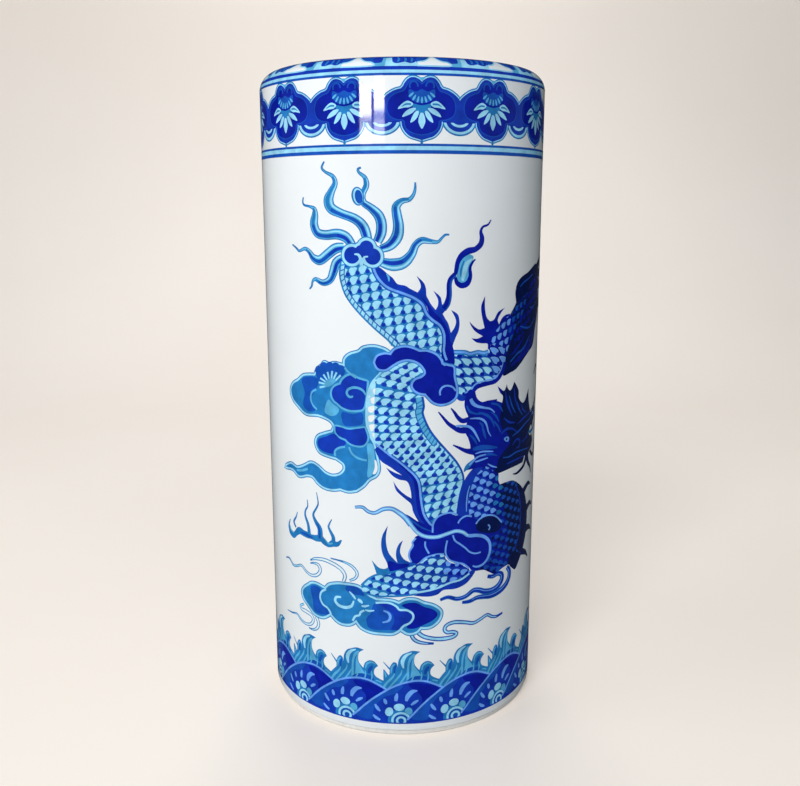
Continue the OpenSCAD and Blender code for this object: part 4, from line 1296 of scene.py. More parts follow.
WHISKERS = (
    [(36.6, 66.6, 0.9), (39.6, 69.2, 0.8), (40.4, 73, 0.7), (38.2, 75.6, 0.6), (36.2, 73.8, 0.3)],
    [(34.4, 57.4, 0.9), (37.4, 55.6, 0.8), (39.8, 57.2, 0.6), (41.6, 55.6, 0.3)],
    [(32, 56.4, 1.4), (30.8, 54.9, 0.9), (29, 54.2, 0.7), (27.4, 53.9, 0.5), (26, 54.1, 0.2)],
    [(32.4, 57, 1.8), (33.4, 55, 1.2), (35, 53.6, 0.8), (36, 51.8, 0.3)],
)
MUZZLE_LINE = [(25.4, 62.4, 0.2), (28, 63, 0.4), (31, 64, 0.35), (34, 64.6, 0.3), (35.8, 65.6, 0.2)]
NOSTRIL = [(35.4, 65, 0.2), (36.4, 65.4, 0.5), (37, 64.6, 0.3)]
JAW_LINE = [(22.4, 58.4, 0.2), (24.4, 58.2, 0.35), (27, 58.6, 0.35), (30.6, 58.4, 0.3), (34, 58, 0.2)]
TONGUE = [(33, 61.6, 0.5), (34.8, 61.5, 0.7), (36.8, 61.7, 0.7), (38.4, 62.6, 0.5), (39.4, 62.2, 0.2)]
UPPER_FANG = [(35.2, 63.2), (36.6, 63.4), (36.3, 62.5), (36.2, 61.8), (35.7, 62.4)]
LOWER_FANG = [(34.7, 60.2), (35.8, 60.2), (35.6, 60.9), (35.7, 61.6), (35.1, 61)]
EYE = [(22.5, 62.4), (23.3, 62.7), (24.2, 62.4), (24, 61.6), (23.2, 61.7)]


def head(sheet):
    """Maned head that faces right, with painted shade nearly black where it turns away."""
    sheet.strokes(NAVY, MANE)
    mass = sheet.fill(NAVY, MANE_MASS)
    sheet.blob(INK_AND_PAINTED_SHADE, MANE_SHADE, mass)
    sheet.stroke(COBALT, [(12.2, 57.1, 0.3), (13, 58.1, 1.0), (14.6, 59.3, 0.5)])
    sheet.strokes(ROYAL, FACE_LINES)
    sheet.strokes(BLUE, MANE_SHEEN)
    sheet.strokes(IRIS, MANE_LIGHTS)
    sheet.strokes(INK_AND_PAINTED_SHADE, WHISKERS)
    sheet.blob(IRIS, EYE)
    sheet.stroke(BLUE, MUZZLE_LINE)
    sheet.stroke(IRIS, NOSTRIL)
    sheet.stroke(BLUE, JAW_LINE)
    sheet.fill(INK_AND_PAINTED_SHADE, ellipse(23.4, 62.15, 0.27, 0.27))
    sheet.stroke(COBALT, TONGUE)
    sheet.blob(INK_AND_PAINTED_SHADE, UPPER_FANG)
    sheet.blob(INK_AND_PAINTED_SHADE, LOWER_FANG)


COIL = outline(
    [(15.6, 57.6), (17.4, 58.2), (19.4, 57.2), (21, 55.5), (21.1, 53.8)],
    [(21.6, 52.8), (23.6, 52.9), (26, 52.7), (28, 51.7), (30, 50.3), (31.8, 48.4), (33.2, 45.4),
     (33.8, 42), (33.2, 38.4), (31.4, 35.6), (30.2, 34.2), (29, 33), (27.8, 32.2), (26.2, 33.2),
     (25, 34.2)],
    [(22.8, 34), (20.6, 33.4), (19, 34.2), (17.4, 35.1), (15.6, 35.3), (14.2, 35.7), (13.4, 38),
     (13.2, 42), (13.2, 46), (13.3, 50), (13.6, 52.6), (14.3, 55)],
)
COIL_SHADE = [
    (22.2, 53.4), (26, 53.4), (30, 51), (34, 46), (34.6, 40), (32, 34.6), (27.8, 31.6), (24.8, 34),
    (25.2, 36.4), (24.4, 39), (24.6, 42), (23.8, 45), (22.6, 48), (21.6, 50.6),
]
COIL_BACK = outline(
    [(16.2, 58.3), (14.2, 57.4), (12.8, 56), (11.8, 54.2), (11.2, 52), (10.8, 49.8)],
    [(10.6, 47.6), (13.4, 47.6), (13.3, 50), (13.5, 52), (14.1, 54), (15.1, 55.9), (16.8, 57.4)],
)
COIL_LIT_SIDE = [
    (13.2, 47), (13, 51), (14, 54.6), (16, 56.6), (18, 57), (19, 54.4), (19.4, 51), (19.4, 48.4),
    (18, 47), (16, 46.4),
]
COIL_FOLDS = (
    [(19.4, 36.6, 0.2), (21.4, 35.8, 0.4), (23.8, 34.6, 0.2)],
    [(20, 35, 0.2), (21.6, 34.6, 0.35), (23, 34.2, 0.2)],
)
COIL_SPINES = (
    [(31, 49, 1.6), (33.8, 50, 1.1), (35.8, 49.4, 0.3)],
    [(33, 44.4, 1.8), (35.8, 45, 1.2), (38, 44, 0.3)],
    [(33, 39.8, 1.8), (35.8, 39.4, 1.2), (38, 38, 0.3)],
    [(30.6, 35.4, 1.6), (33.4, 34.2, 1.1), (35.2, 32.6, 0.3)],
)
COIL_LIT_END, COIL_LIT_LOW = 22.6, 45
COIL_BRIGHTEST_LIT_END, COIL_BRIGHTEST_LIT_LOW = 20, 46


def neck_coil(sheet):
    """Coil under the head with a rim of spines, painted lighter at the upper left and with painted shade to
    the right.
    """
    region = sheet.fill(NAVY, COIL)
    # Painted shade nearly black on the right, and a painted lighter ground at the upper left
    sheet.blob(INK_AND_PAINTED_SHADE, COIL_SHADE, region)
    sheet.blob(ROYAL, COIL_LIT_SIDE, region)
    places = lattice(box=(12, 33, 34, 58), start=(14.6, 49.8), across=(1.72, -0.76), down=(0.72, 1.5))
    sheet.scales(region, places, cell=(1.5, 1.0, 0), knot=(0.72, -0.5, 0.9, 0.7), tones=(BLUE, INK_AND_PAINTED_SHADE))
    # Painted light: scales brighter in steps towards the upper left
    between = [p for p in places if p[0] < COIL_LIT_END and p[1] > COIL_LIT_LOW]
    sheet.scales(region, between, cell=(1.6, 1.1, 0), knot=(0.8, -0.52, 0.9, 0.75), tones=(COBALT, NAVY))
    bright = [p for p in places if p[0] < COIL_BRIGHTEST_LIT_END and p[1] > COIL_BRIGHTEST_LIT_LOW]
    sheet.scales(region, bright, cell=(1.7, 1.2, 0), knot=(0.8, -0.52, 0.95, 0.8), tones=(IRIS, NAVY))
    # Painted shade: a broad nearly black band along the right, and a dark patch at its foot
    sheet.line(INK_AND_PAINTED_SHADE, [(29.4, 53), (31.6, 49), (32.4, 44), (31.8, 39.6), (29.6, 35.8)], 4.6, mask=region)
    sheet.line(ROYAL, [(27.4, 51.2), (29.2, 48), (29.9, 44), (29.4, 40), (27.4, 36.8)], 0.4, mask=region)
    sheet.blob(INK_AND_PAINTED_SHADE, [(24.8, 34.4), (25.8, 35.8), (27.4, 36.3), (29.4, 35.4), (30.4, 34.2),
                     (27.8, 32.2)], region)
    sheet.fill(ROYAL, COIL_BACK)
    sheet.stroke(IRIS, [(12.9, 48.6, 0.15), (12.9, 50.4, 0.3), (13.1, 52.4, 0.3), (13.6, 54, 0.15)])
    sheet.strokes(BLUE, COIL_FOLDS)
    sheet.strokes(INK_AND_PAINTED_SHADE, COIL_SPINES)


LOW_CLOUD = [
    (2.2, 44.4), (4, 44.8), (5.5, 45.6), (5.7, 47), (6.8, 48.4), (8.6, 48.9), (10.8, 48), (12.4, 47.7),
    (14.2, 47.4), (15.6, 46.4), (17.5, 46.9), (20.5, 46), (22.4, 44.2), (22, 42.4), (19.4, 42),
    (19.2, 40), (18.4, 37.6), (16.4, 36.2), (14.4, 36), (12.6, 37.2), (10.4, 37.9), (8.8, 39.2),
    (7.6, 40.2), (5.2, 40), (3.4, 39), (1.8, 38.4), (0.9, 39.6), (1, 41.4), (1.6, 43),
]
TRAIL_BAND = [
    (-10.2, 50.05, 0.25), (-8.6, 50.2, 0.4), (-7.4, 49.4, 0.45), (-6, 49.2, 0.45), (-4.3, 50.1, 0.55),
    (-2.6, 50.2, 0.6), (-1.2, 49.4, 0.7), (0, 48.4, 0.8), (1.2, 46.8, 0.8), (2.6, 45.1, 0.8),
    (4.4, 44.2, 0.8), (6.6, 44, 0.8), (8.8, 44.5, 0.8), (10.6, 44.8, 0.75), (12.2, 44.3, 0.75),
    (13.4, 43.4, 0.7), (15.4, 43.1, 0.7), (17.4, 42.4, 0.7), (18.8, 41, 0.7), (19.1, 39.2, 0.65),
    (18.5, 37.5, 0.6), (17.2, 36.4, 0.5), (15.6, 36.2, 0.4), (14.6, 36.6, 0.3),
]
CLOUD_FOLDS = (
    [(5.6, 45), (5.7, 46.8), (6.6, 48.2), (8.2, 48.8), (9.6, 48.8), (10.9, 48.2)],
    [(11, 46.4), (11.6, 47.2), (12.8, 47.7), (14.2, 47.4)],
    [(15.2, 45.6), (16.2, 46.5), (17.8, 46.9), (19.6, 46.6), (21, 45.8), (22.4, 44.4)],
    [(4.1, 43.2), (4.1, 42.2), (4.6, 41.1), (4.9, 40.6)],
    [(8.7, 43), (8.4, 41.6), (8.4, 40.2), (9.2, 38.8), (10.8, 38), (12.4, 37.4), (13.8, 36.2)],
    [(9.9, 44), (10.4, 42.8), (11.6, 41.8), (12.8, 40.8), (13.8, 39.8), (15.2, 39.2), (16.6, 39.2)],
    [(2.2, 44), (1.5, 43.2), (1.6, 42.4), (1.0, 41.4), (0.8, 40.2), (1.3, 38.9)],
    [(3, 38.7), (4, 39.6), (5, 40), (6.6, 40.3), (8, 40.2)],
    [(18.4, 44.8), (18.9, 44.2), (18.6, 43.6)],
)


def low_cloud(sheet):
    """Dark cloud in front of the trunk's lower end, crossed by a long pale trail."""
    sheet.blob(NAVY, LOW_CLOUD)
    sheet.blob(NAVY, [(-1.2, 49.4), (0.6, 48.9), (2.8, 47.4), (5.4, 46.4), (5.4, 44.6), (3, 45.2),
                      (1.2, 47.2), (-0.2, 48.7)])
    sheet.stroke(BLUE, [(0.4, 48.6, 0.2), (1.8, 47.4, 0.35), (3.4, 46.2, 0.35), (5.3, 45.3, 0.2)])
    sheet.blob(INK_AND_PAINTED_SHADE, [(15.4, 46.2), (17.5, 46.8), (20.4, 46), (22.3, 44.2), (21.6, 42.8), (19.2, 42.8),
                     (17, 43.4), (15.4, 44.4)])
    for points in CLOUD_FOLDS:
        sheet.line(IRIS, points, 0.36)
    sheet.stroke(COBALT, TRAIL_BAND[:9], grow=0.35)
    sheet.stroke(IRIS, TRAIL_BAND)
    sheet.stroke(SKY, TRAIL_BAND[:16], share=0.45, least=0.1)


FORELEG_TOP = [
    (-9, 33.4), (-7.5, 35), (-5.6, 36.1), (-3, 36.6), (-1.5, 37.3), (0, 38), (1.6, 38.2), (3.2, 38.8),
    (4.6, 39.7), (6.4, 40.2), (8, 40), (8.5, 39), (9.8, 38), (11.5, 37.6), (13, 36.6), (14.5, 35.3),
]
FORELEG_LOW = [
    (-8.6, 32), (-6, 31.4), (-3, 31.5), (0, 31.7), (2.4, 32), (4.8, 32.3), (7, 32.8), (9, 33.4),
    (11, 33.8), (12.8, 34.4), (14.3, 35.2),
]
FORELEG_UNDER = [(1.4, 31.9), (3.4, 31.4), (5.2, 31.3), (6.8, 31.6), (8, 32.4), (10.2, 32.3), (12, 32.6),
                 (13.6, 33.4), (15.2, 35.2), (14.4, 35.7), (12.8, 34.8), (10, 34), (7, 33.1), (4.4, 32.6)]
FORELEG_SPINES = outline(
    [(-3.2, 36.8), (-3.6, 38.6), (-4.5, 40.6), (-4.8, 42.6), (-4.5, 44.6)],
    [(-3.4, 46.7), (-3.8, 44.4), (-3.7, 42.4), (-3.1, 40.6)],
    [(-1.5, 38.8), (-1.8, 40.2), (-1.7, 41.6), (-1.2, 42.8)],
    [(-0.4, 43.6), (-0.9, 42), (-0.9, 40.8), (-0.2, 39.6)],
    [(1, 38.9), (2.4, 38.5), (1, 37.9), (-1, 37.4)],
)
FORELEG_THORN = outline(
    [(-5.8, 36.3), (-6.2, 37.6)],
    [(-6.8, 39.2), (-5.4, 37.7), (-4.2, 37.4)],
    [(-3.4, 37.8), (-3.2, 36.8), (-4.6, 36.4)],
)
FORELEG_SHADED_START = 8.4


def foreleg(sheet):
    """Scaly foreleg that reaches to the lower left, with a dark underside and spines on top."""
    region = sheet.fill(BLUE, outline(FORELEG_TOP, list(reversed(FORELEG_LOW))))
    sheet.blob(COBALT, [(-9.4, 34), (-7.4, 36), (-5, 36.6), (-3.4, 35), (-3, 33), (-4.6, 31),
                        (-9, 31.4)], region)
    places = lattice(box=(-10, 30, 16, 42), start=(0.3, 34.4), across=(1.87, -0.36), down=(-0.5, -1.72))
    sheet.scales(region, places, cell=(1.75, 1.3, 6), knot=(0.74, -0.44, 1.05, 0.9))
    # Painted shade: the foreleg's right part darker, with dimmer scales
    sheet.blob(ROYAL, [(9, 42), (9.4, 38), (8.6, 34), (9.4, 31), (17, 33), (17, 41)], region)
    shaded_places = [p for p in places if p[0] > FORELEG_SHADED_START]
    sheet.scales(region, shaded_places, cell=(1.7, 1.24, 6), knot=(0.74, -0.44, 1.1, 0.92), tones=(IRIS, NAVY))
    sheet.line(COBALT, FORELEG_TOP[:7], 0.45)
    sheet.blob(ROYAL, FORELEG_UNDER)
    sheet.line(SKY, [(1.4, 32.2), (4.8, 32.6), (7.2, 33.1), (9.4, 33.8), (11.8, 34.1),
                     (13.8, 35.1)], 0.42)
    sheet.line(COBALT, FORELEG_LOW[:5], 0.4)
    sheet.fill(BLUE, FORELEG_SPINES)
    sheet.blob(NAVY, [(-3.2, 37), (-3.4, 39), (-2.4, 39), (-1.4, 38.6), (0.8, 38.6), (0.4, 37.9),
                      (-1.4, 37.3)])
    sheet.fill(COBALT, FORELEG_THORN)


LEFT_CLOUD = outline(
    [(-12, 78.6), (-11.9, 80), (-10.8, 81), (-9, 81.6), (-8, 82.4), (-6, 82.7), (-4, 82.2)],
    [(-2.9, 81.4), (-4, 79), (-5.4, 77.2), (-6.7, 75.6), (-7.5, 73), (-7.8, 70), (-7.7, 67), (-7.1, 65),
     (-6.3, 63.5), (-5.9, 62), (-5.5, 60), (-5.3, 58.4), (-5.8, 57.1), (-7.2, 56.2), (-8.4, 54.8)],
    [(-9.8, 53.7), (-11.6, 53.3)],
    [(-13.4, 53.6), (-15.2, 53.2), (-17.2, 53.3), (-18.8, 54), (-20.2, 55.1), (-22, 55.1), (-24.4, 54.4),
     (-26.6, 55.4)],
    [(-29.8, 55.1), (-27.2, 56.3), (-25, 55.9), (-22.8, 56.7), (-20.6, 57.8), (-18.8, 57.4), (-17, 56.3),
     (-15.2, 55.9), (-13.4, 56.4), (-12.3, 57.6), (-12.5, 58.9)],
    [(-14.2, 59.9), (-16.4, 60.2), (-18.2, 60.7), (-19.1, 62.2), (-18.6, 63.6), (-17, 64.4)],
    [(-15, 65.1), (-14.5, 66.4), (-15.6, 67.6), (-18.4, 68.3), (-21.6, 68.1), (-23.8, 69.2),
     (-25.8, 70.6), (-26.4, 72.2), (-25.6, 73.6), (-23.8, 74.6), (-22, 75.8)],
    [(-19, 76.2), (-18.3, 77.5), (-17.2, 78.3), (-16.6, 79), (-15.5, 78.7), (-14.2, 79), (-12.8, 78.8)],
)
UPPER_LOBE = outline(
    [(-7.4, 75.9), (-8.4, 76.1), (-9.4, 76.4), (-10.4, 76.9), (-11.3, 76.8), (-12.4, 76)],
    [(-13, 75), (-14.4, 74.3), (-15, 73.1), (-14.6, 71.8), (-13.6, 71.1), (-12.6, 70.4), (-11, 70),
     (-9.4, 70.1), (-8.2, 70.6), (-7.7, 73)],
)
MIDDLE_LOBE = outline(
    [(-14.3, 66.4), (-14.2, 65.2), (-13.4, 64.4)],
    [(-12, 64), (-11.2, 63.3), (-9.8, 62.9), (-8.2, 63.1), (-7.4, 64.6)],
    [(-8, 66.6), (-9.6, 66.3), (-11.4, 66), (-13, 66.3)],
)
LOWER_LOBE = [(-14.6, 64.8), (-16.6, 64), (-18.4, 63.2), (-18.7, 62), (-17.8, 61), (-16, 60.6),
              (-14.5, 60.8), (-14, 62), (-12.4, 62.6), (-12, 63.4), (-13.4, 64)]
LEFT_CLOUD_FOLDS = (
    [(-18.8, 73.4), (-20, 72.6), (-20.3, 71.2), (-19.7, 70), (-18.7, 69.3)],
    [(-14.4, 60.2), (-14.5, 61.2), (-13.6, 62), (-12.2, 62.4)],
    [(-11.3, 62.4), (-10.8, 61.3), (-9.8, 60.5), (-8.6, 60.1), (-7.6, 60)],
    [(-12, 78.4), (-11.5, 77.8), (-10.6, 77.1), (-9.6, 76.5)],
)
FLOWER_HEART = (-15.2, 74.6)
FLOWER_LOBES = ((-18.0, 77.3, 1.0), (-16.7, 78.1, 1.05), (-15.3, 78.3, 1.0), (-14.0, 78.3, 1.0),
                (-12.8, 77.9, 0.95))
FLOWER_TIPS = (
    (-17.9, 73.9), (-18.1, 74.9), (-17.7, 75.8), (-16.9, 76.6), (-15.9, 77.2), (-14.8, 77.5),
    (-13.8, 77.3), (-12.9, 76.8),
)


def cloud_flower(sheet):
    """Rayed flower at the top of the left cloud."""
    for u, v, r in FLOWER_LOBES:
        sheet.fill(BLUE, ellipse(u, v, r, r, count=16))
    sheet.blob(BLUE, [(-18.8, 76.4), (-17.2, 78), (-14.6, 78.4), (-12.2, 78), (-12.4, 76.6), (-15, 75.6),
                      (-17, 74.8)])
    for u, v in FLOWER_TIPS:
        halfway = ((u + FLOWER_HEART[0]) / 2, (v + FLOWER_HEART[1]) / 2)
        ray = [(*FLOWER_HEART, 0.25), (*halfway, 0.45), (u, v, 0.5)]
        sheet.stroke(AZURE, ray)
        sheet.stroke(SKY, ray[1:], share=0.6)


def left_cloud(sheet):
    """Big pale cloud to the left of the trunk, with a rayed flower and three darker lobes."""
    whole = cloud(sheet, LEFT_CLOUD, COBALT)
    sheet.blob(BLUE, [(-22.8, 75), (-20, 75.9), (-18, 75.4), (-18.8, 73.4), (-20.1, 71.4), (-19, 69.2),
                      (-21, 68.6), (-22.6, 69.8), (-22, 72.4)], whole)
    sheet.blob(AZURE, [(-16.8, 69.2), (-15.9, 71.6), (-14.9, 71), (-13.4, 70), (-14, 68.8),
                       (-15.4, 68.4)], whole)
    cloud_flower(sheet)
    cloud(sheet, UPPER_LOBE, ROYAL, rim=0.42, edge=0.1, light=AZURE)
    sheet.stroke(AZURE, [(-10.3, 72.8, 0.3), (-11, 72.6, 0.5), (-11.6, 73.2, 0.5), (-11.4, 74, 0.5),
                         (-10.4, 74.5, 0.5), (-9.2, 74.5, 0.5), (-8.2, 74, 0.45), (-7.7, 73.2, 0.3)])
    sheet.blob(BLUE, [(-12.8, 69.4), (-10.4, 69.2), (-8.4, 69.6), (-8.4, 67.4), (-10.4, 66.8),
                      (-12.4, 66.9)], whole)
    cloud(sheet, MIDDLE_LOBE, ROYAL, rim=0.36, edge=0.1, light=AZURE)
    sheet.blob(ROYAL, LOWER_LOBE, whole)
    for points in LEFT_CLOUD_FOLDS:
        sheet.line(AZURE, points, 0.42)
    sheet.line(AZURE, [(-25.2, 55.4), (-23.4, 55.7), (-21.6, 56.4)], 0.5)
    # Painted highlight: a pale and a white patch on the cloud's right edge, the same window's glare further
    # down
    sheet.blob(AZURE, [(-7.5, 63.2), (-6.3, 63.2), (-6, 61), (-6, 58.6), (-6.4, 57.2), (-7.5, 56.6),
                       (-7.3, 60)], whole)
    sheet.blob(WHITE, [(-6, 60.2), (-5.6, 59.8), (-5.4, 58.4), (-5.8, 57.4), (-6.4, 57.3),
                       (-6, 58.6)], whole)


LOWER_LEFT = outline(
    [(-22.6, 26.4), (-23.8, 27.4), (-24.1, 28.7), (-23.3, 29.8), (-22.2, 30.6), (-21.2, 31.3),
     (-19.6, 31.5)],
    [(-17.4, 31), (-16.4, 32.1), (-14.4, 32.8), (-12.4, 33), (-10.2, 33), (-8.8, 32.4), (-7.4, 31.2)],
    [(-5.8, 30.5), (-4.2, 30.5), (-2.6, 30.4)],
    [(-1.2, 29.9), (0.4, 30.7), (2.2, 30.6), (3.8, 29.8), (5.6, 29.2), (7, 28.2), (7.4, 27.2),
     (6.8, 25.8), (5.2, 24.7)],
    [(3.2, 24.7), (2.2, 23.7), (0.6, 23.5)],
    [(-0.9, 24.5), (-2.4, 23.5), (-4.6, 23.4), (-7, 23.5), (-9, 24.2)],
    [(-10.2, 25.6), (-11.8, 24.5), (-14.2, 24.5)],
    [(-16.2, 26), (-18.2, 24.7), (-20.4, 24.8), (-21.8, 25.8)],
)
LOWER_LEFT_FOLDS = (
    [(-17.3, 31), (-18.5, 30.2), (-18.9, 28.8), (-18.2, 27.5), (-16.9, 26.9), (-16.1, 25.8)],
    [(-8.4, 28), (-9.2, 27.5), (-9.5, 26.8), (-10.4, 26.4), (-11, 25.3)],
    [(-6, 29.9), (-4.5, 30.1), (-3, 30), (-1.7, 29.3), (-1.1, 28.6), (0.4, 28.5), (1.5, 27.8),
     (1.7, 26.8), (1, 25.7), (-0.2, 25.1), (-0.9, 24.3)],
)
LOWER_LEFT_FLECKS = (
    [(-11.7, 31.7, 0.2), (-10.9, 31, 0.5), (-10.3, 30.2, 0.3)],
    [(-9.8, 30.3, 0.5), (-9.2, 29.9, 0.7), (-8.8, 29.5, 0.3)],
    [(-9, 28.9, 0.3), (-8.3, 28.9, 0.5), (-7.4, 29.2, 0.25)],
    [(-8.2, 28.1, 0.3), (-7.3, 28, 0.45), (-6.3, 28.2, 0.2)],
)


def lower_left_cloud(sheet):
    """Long scalloped cloud under the foreleg, darker to the right, with two curls."""
    whole = cloud(sheet, LOWER_LEFT, COBALT, rim=0.45, edge=0.2)
    sheet.blob(BLUE, [(-21.6, 30.6), (-19.4, 31.1), (-18.4, 30.3), (-18.9, 28.8), (-18.2, 27.4),
                      (-16.9, 26.8), (-16.2, 25.8), (-18.4, 25.1), (-20.6, 25.4), (-21, 27.6)], whole)
    sheet.blob(BLUE, [(-12.6, 32.2), (-11.6, 33.2), (-9.8, 33.2), (-8.8, 32.4), (-8.4, 31.2),
                      (-9.8, 31.2), (-11.4, 31.3)], whole)
    sheet.blob(BLUE, [(-8, 26.2), (-7, 27.6), (-6.2, 29.8), (-3, 30), (-1.1, 28.6), (1.5, 27.8),
                      (1.7, 26.8), (-0.2, 25.1), (-0.9, 24.3), (-4.6, 24), (-7.4, 24.2)], whole)
    sheet.blob(ROYAL, [(-5.4, 29.8), (-3.6, 30), (-1.7, 29.3), (-1.1, 28.6), (0.4, 28.5), (1.5, 27.8),
                       (1.7, 26.8), (1, 25.7), (-0.2, 25.1), (-0.9, 24.3), (-2.8, 24.2), (-2.2, 26),
                       (-2.6, 27.8), (-4, 28.8)], whole)
    sheet.blob(NAVY, [(-0.7, 29.5), (0.8, 30.1), (2.4, 30), (4, 29.1), (5.8, 28.4), (6.8, 27.2),
                      (5.8, 26), (3.8, 25.1), (2, 24.4), (0.4, 24.6), (0.9, 25.6), (1.9, 26.8),
                      (1.2, 28.4)], whole)
    for points in LOWER_LEFT_FOLDS:
        sheet.line(SKY, points, 0.45, mask=whole)
    sheet.stroke(SKY, [(-13.6, 30.1, 0.4), (-14.7, 29.9, 0.55), (-15, 29, 0.6), (-14.2, 28.2, 0.65),
                       (-12.6, 28, 0.65), (-11.2, 28.6, 0.6), (-10.7, 29.8, 0.3)])
    sheet.stroke(IRIS, [(-4.4, 28.3, 0.3), (-3.4, 27.9, 0.5), (-3, 27, 0.55), (-3.4, 26.1, 0.5),
                        (-4.6, 25.7, 0.3)])
    sheet.strokes(SKY, LOWER_LEFT_FLECKS, mask=whole)


DRIFTING_FLAME = (
    [(-26, 42.6, 0.5), (-26.7, 43.7, 0.6), (-25.8, 45, 0.4), (-25.3, 46.2, 0.2)],
    [(-21.6, 42.2, 1.0), (-21.9, 44.3, 0.8), (-22.7, 46, 0.6), (-22.6, 47.2, 0.45), (-21.9, 48.3, 0.35),
     (-22, 49.7, 0.2)],
    [(-18.6, 41.8, 1.4), (-18.6, 44, 1.3), (-19.8, 45.6, 0.9), (-20.3, 46.9, 0.55), (-19.4, 48.4, 0.45),
     (-18.9, 49.6, 0.35), (-19.3, 51.8, 0.2)],
    [(-15.4, 41.4, 1.0), (-15.2, 42.8, 0.9), (-16.1, 44.4, 0.6), (-16.3, 45.2, 0.45), (-15.5, 46.7, 0.2)],
    [(-28.1, 43.9, 0.2), (-28.7, 42.4, 0.6), (-28.2, 41, 1.0), (-27, 40.5, 1.2), (-26, 41.3, 1.2),
     (-24.8, 42.2, 1.6), (-23.4, 42, 1.4), (-22.2, 41.9, 1.4), (-20.9, 41.8, 1.1), (-19.6, 41.8, 1.4),
     (-18.3, 42, 1.5), (-17.4, 41.3, 1.1), (-16.4, 41, 1.0), (-15.4, 41.5, 1.4), (-14.2, 41.6, 1.0),
     (-13.3, 42.6, 0.3)],
)


def drifting_flame(sheet):
    """Small flame by itself at the left, with four tongues on a bent base."""
    sheet.strokes(COBALT, DRIFTING_FLAME)
    sheet.stroke(AZURE, [(-28.3, 42.4, 0.3), (-27.9, 41.5, 0.4), (-26.9, 41.2, 0.4)])
    sheet.stroke(BLUE, [(-18.7, 42, 0.5), (-18.7, 43.8, 0.5), (-19.4, 45.2, 0.25)])
    sheet.stroke(BLUE, [(-24.4, 42, 0.3), (-22.4, 41.9, 0.6), (-20.6, 41.6, 0.3)])
    sheet.stroke(AZURE, [(-17.4, 42.2, 0.2), (-16.4, 41.3, 0.35), (-15.4, 41.6, 0.3)])


TRAILS = (
    [(-30.6, 34.4, 0.2), (-29, 34.7, 0.35), (-27.4, 33.7, 0.5), (-26, 33.9, 0.5), (-24.4, 34.5, 0.55),
     (-22.8, 33.6, 0.6), (-21.2, 33.2, 0.65), (-19.6, 33.7, 0.75), (-18.7, 34.9, 0.8), (-19.2, 36, 0.7),
     (-20.6, 36.1, 0.4), (-21.5, 35.8, 0.2)],
    [(-21.5, 36.5, 0.25), (-20, 37.2, 0.6), (-17.5, 37.5, 0.8), (-15, 37, 0.85), (-13.3, 36.1, 0.85),
     (-12.6, 34.9, 0.8), (-13, 33.6, 0.7)],
    [(-16, 38.2, 0.2), (-13, 38, 0.4), (-11, 37.3, 0.6), (-9.9, 36, 0.65), (-10.3, 34.8, 0.6),
     (-11.6, 34.1, 0.5)],
    [(-30.6, 22.1, 0.15), (-28.4, 22.3, 0.3), (-26.4, 22.7, 0.45), (-25, 21.9, 0.55), (-23.4, 21.5, 0.6),
     (-21.8, 21.9, 0.7), (-21, 23, 0.75), (-21.5, 24, 0.8), (-23.2, 24.4, 0.9), (-24.7, 24.5, 0.7),
     (-25, 25.2, 0.5), (-23.8, 25.9, 0.5)],
    [(-20.2, 24.2, 0.8), (-19.5, 23, 0.8), (-19.8, 21.7, 0.7), (-21, 20.9, 0.5), (-22.4, 20.9, 0.2)],
)
NEAR_TRAILS = (
    [(2.6, 23.6, 0.7), (3.8, 22.6, 0.7), (5.8, 21.9, 0.7), (8, 21.6, 0.75), (10.2, 21.7, 0.7),
     (11, 22.3, 0.6), (10.2, 22.8, 0.6), (8.9, 22.9, 0.6), (8.3, 23.7, 0.6), (8.9, 24.6, 0.6),
     (10.6, 24.9, 0.65), (13, 24.4, 0.6), (15, 23.8, 0.55), (16.8, 24.2, 0.55), (18.6, 24.7, 0.5),
     (20, 23.9, 0.45), (21.5, 23.5, 0.35), (23.4, 23.7, 0.2)],
    [(1.2, 23.4, 0.6), (1.9, 22, 0.6), (3.4, 21.2, 0.5), (6, 20.8, 0.2)],
)
DARK_TRAILS = (
    [(7.3, 30.3, 0.2), (9, 30.7, 0.35), (11, 30, 0.45), (13, 30.2, 0.5), (14.8, 31.1, 0.6),
     (16.2, 30.9, 0.7), (17.8, 30.2, 0.8), (19.8, 29.9, 0.9), (21.6, 30.3, 0.95), (22.8, 31.4, 0.95),
     (22.8, 32.6, 0.8), (21.6, 33.2, 0.6), (20, 33, 0.5), (18.5, 33.4, 0.3)],
    [(12.2, 29, 0.2), (14, 28.9, 0.4), (15.8, 29.3, 0.5), (17.6, 29.1, 0.65), (19.6, 28.8, 0.8),
     (22, 29, 0.9), (24.2, 29.8, 0.95), (25.4, 31.1, 0.9), (25.5, 32.6, 0.8), (24.6, 33.8, 0.6)],
)


def trails(sheet):
    """Thin trails of mist: hollow ones at the left, pale ones low in front and dark ones to the right."""
    for points in TRAILS:
        sheet.stroke(COBALT, points, grow=0.06)
        sheet.stroke(SKY, points, grow=-0.26, least=0.1)
        sheet.stroke(WHITE, points, grow=-0.46, least=0.05)
    for points in NEAR_TRAILS:
        sheet.stroke(BLUE, points, grow=0.3)
        sheet.stroke(SKY, points, grow=-0.22, least=0.1)
    for points in DARK_TRAILS:
        sheet.stroke(COBALT, points, grow=0.5)
        sheet.stroke(ROYAL, points, grow=0.2)
        sheet.stroke(IRIS, points, share=0.24, shift=0.2, least=0.1)


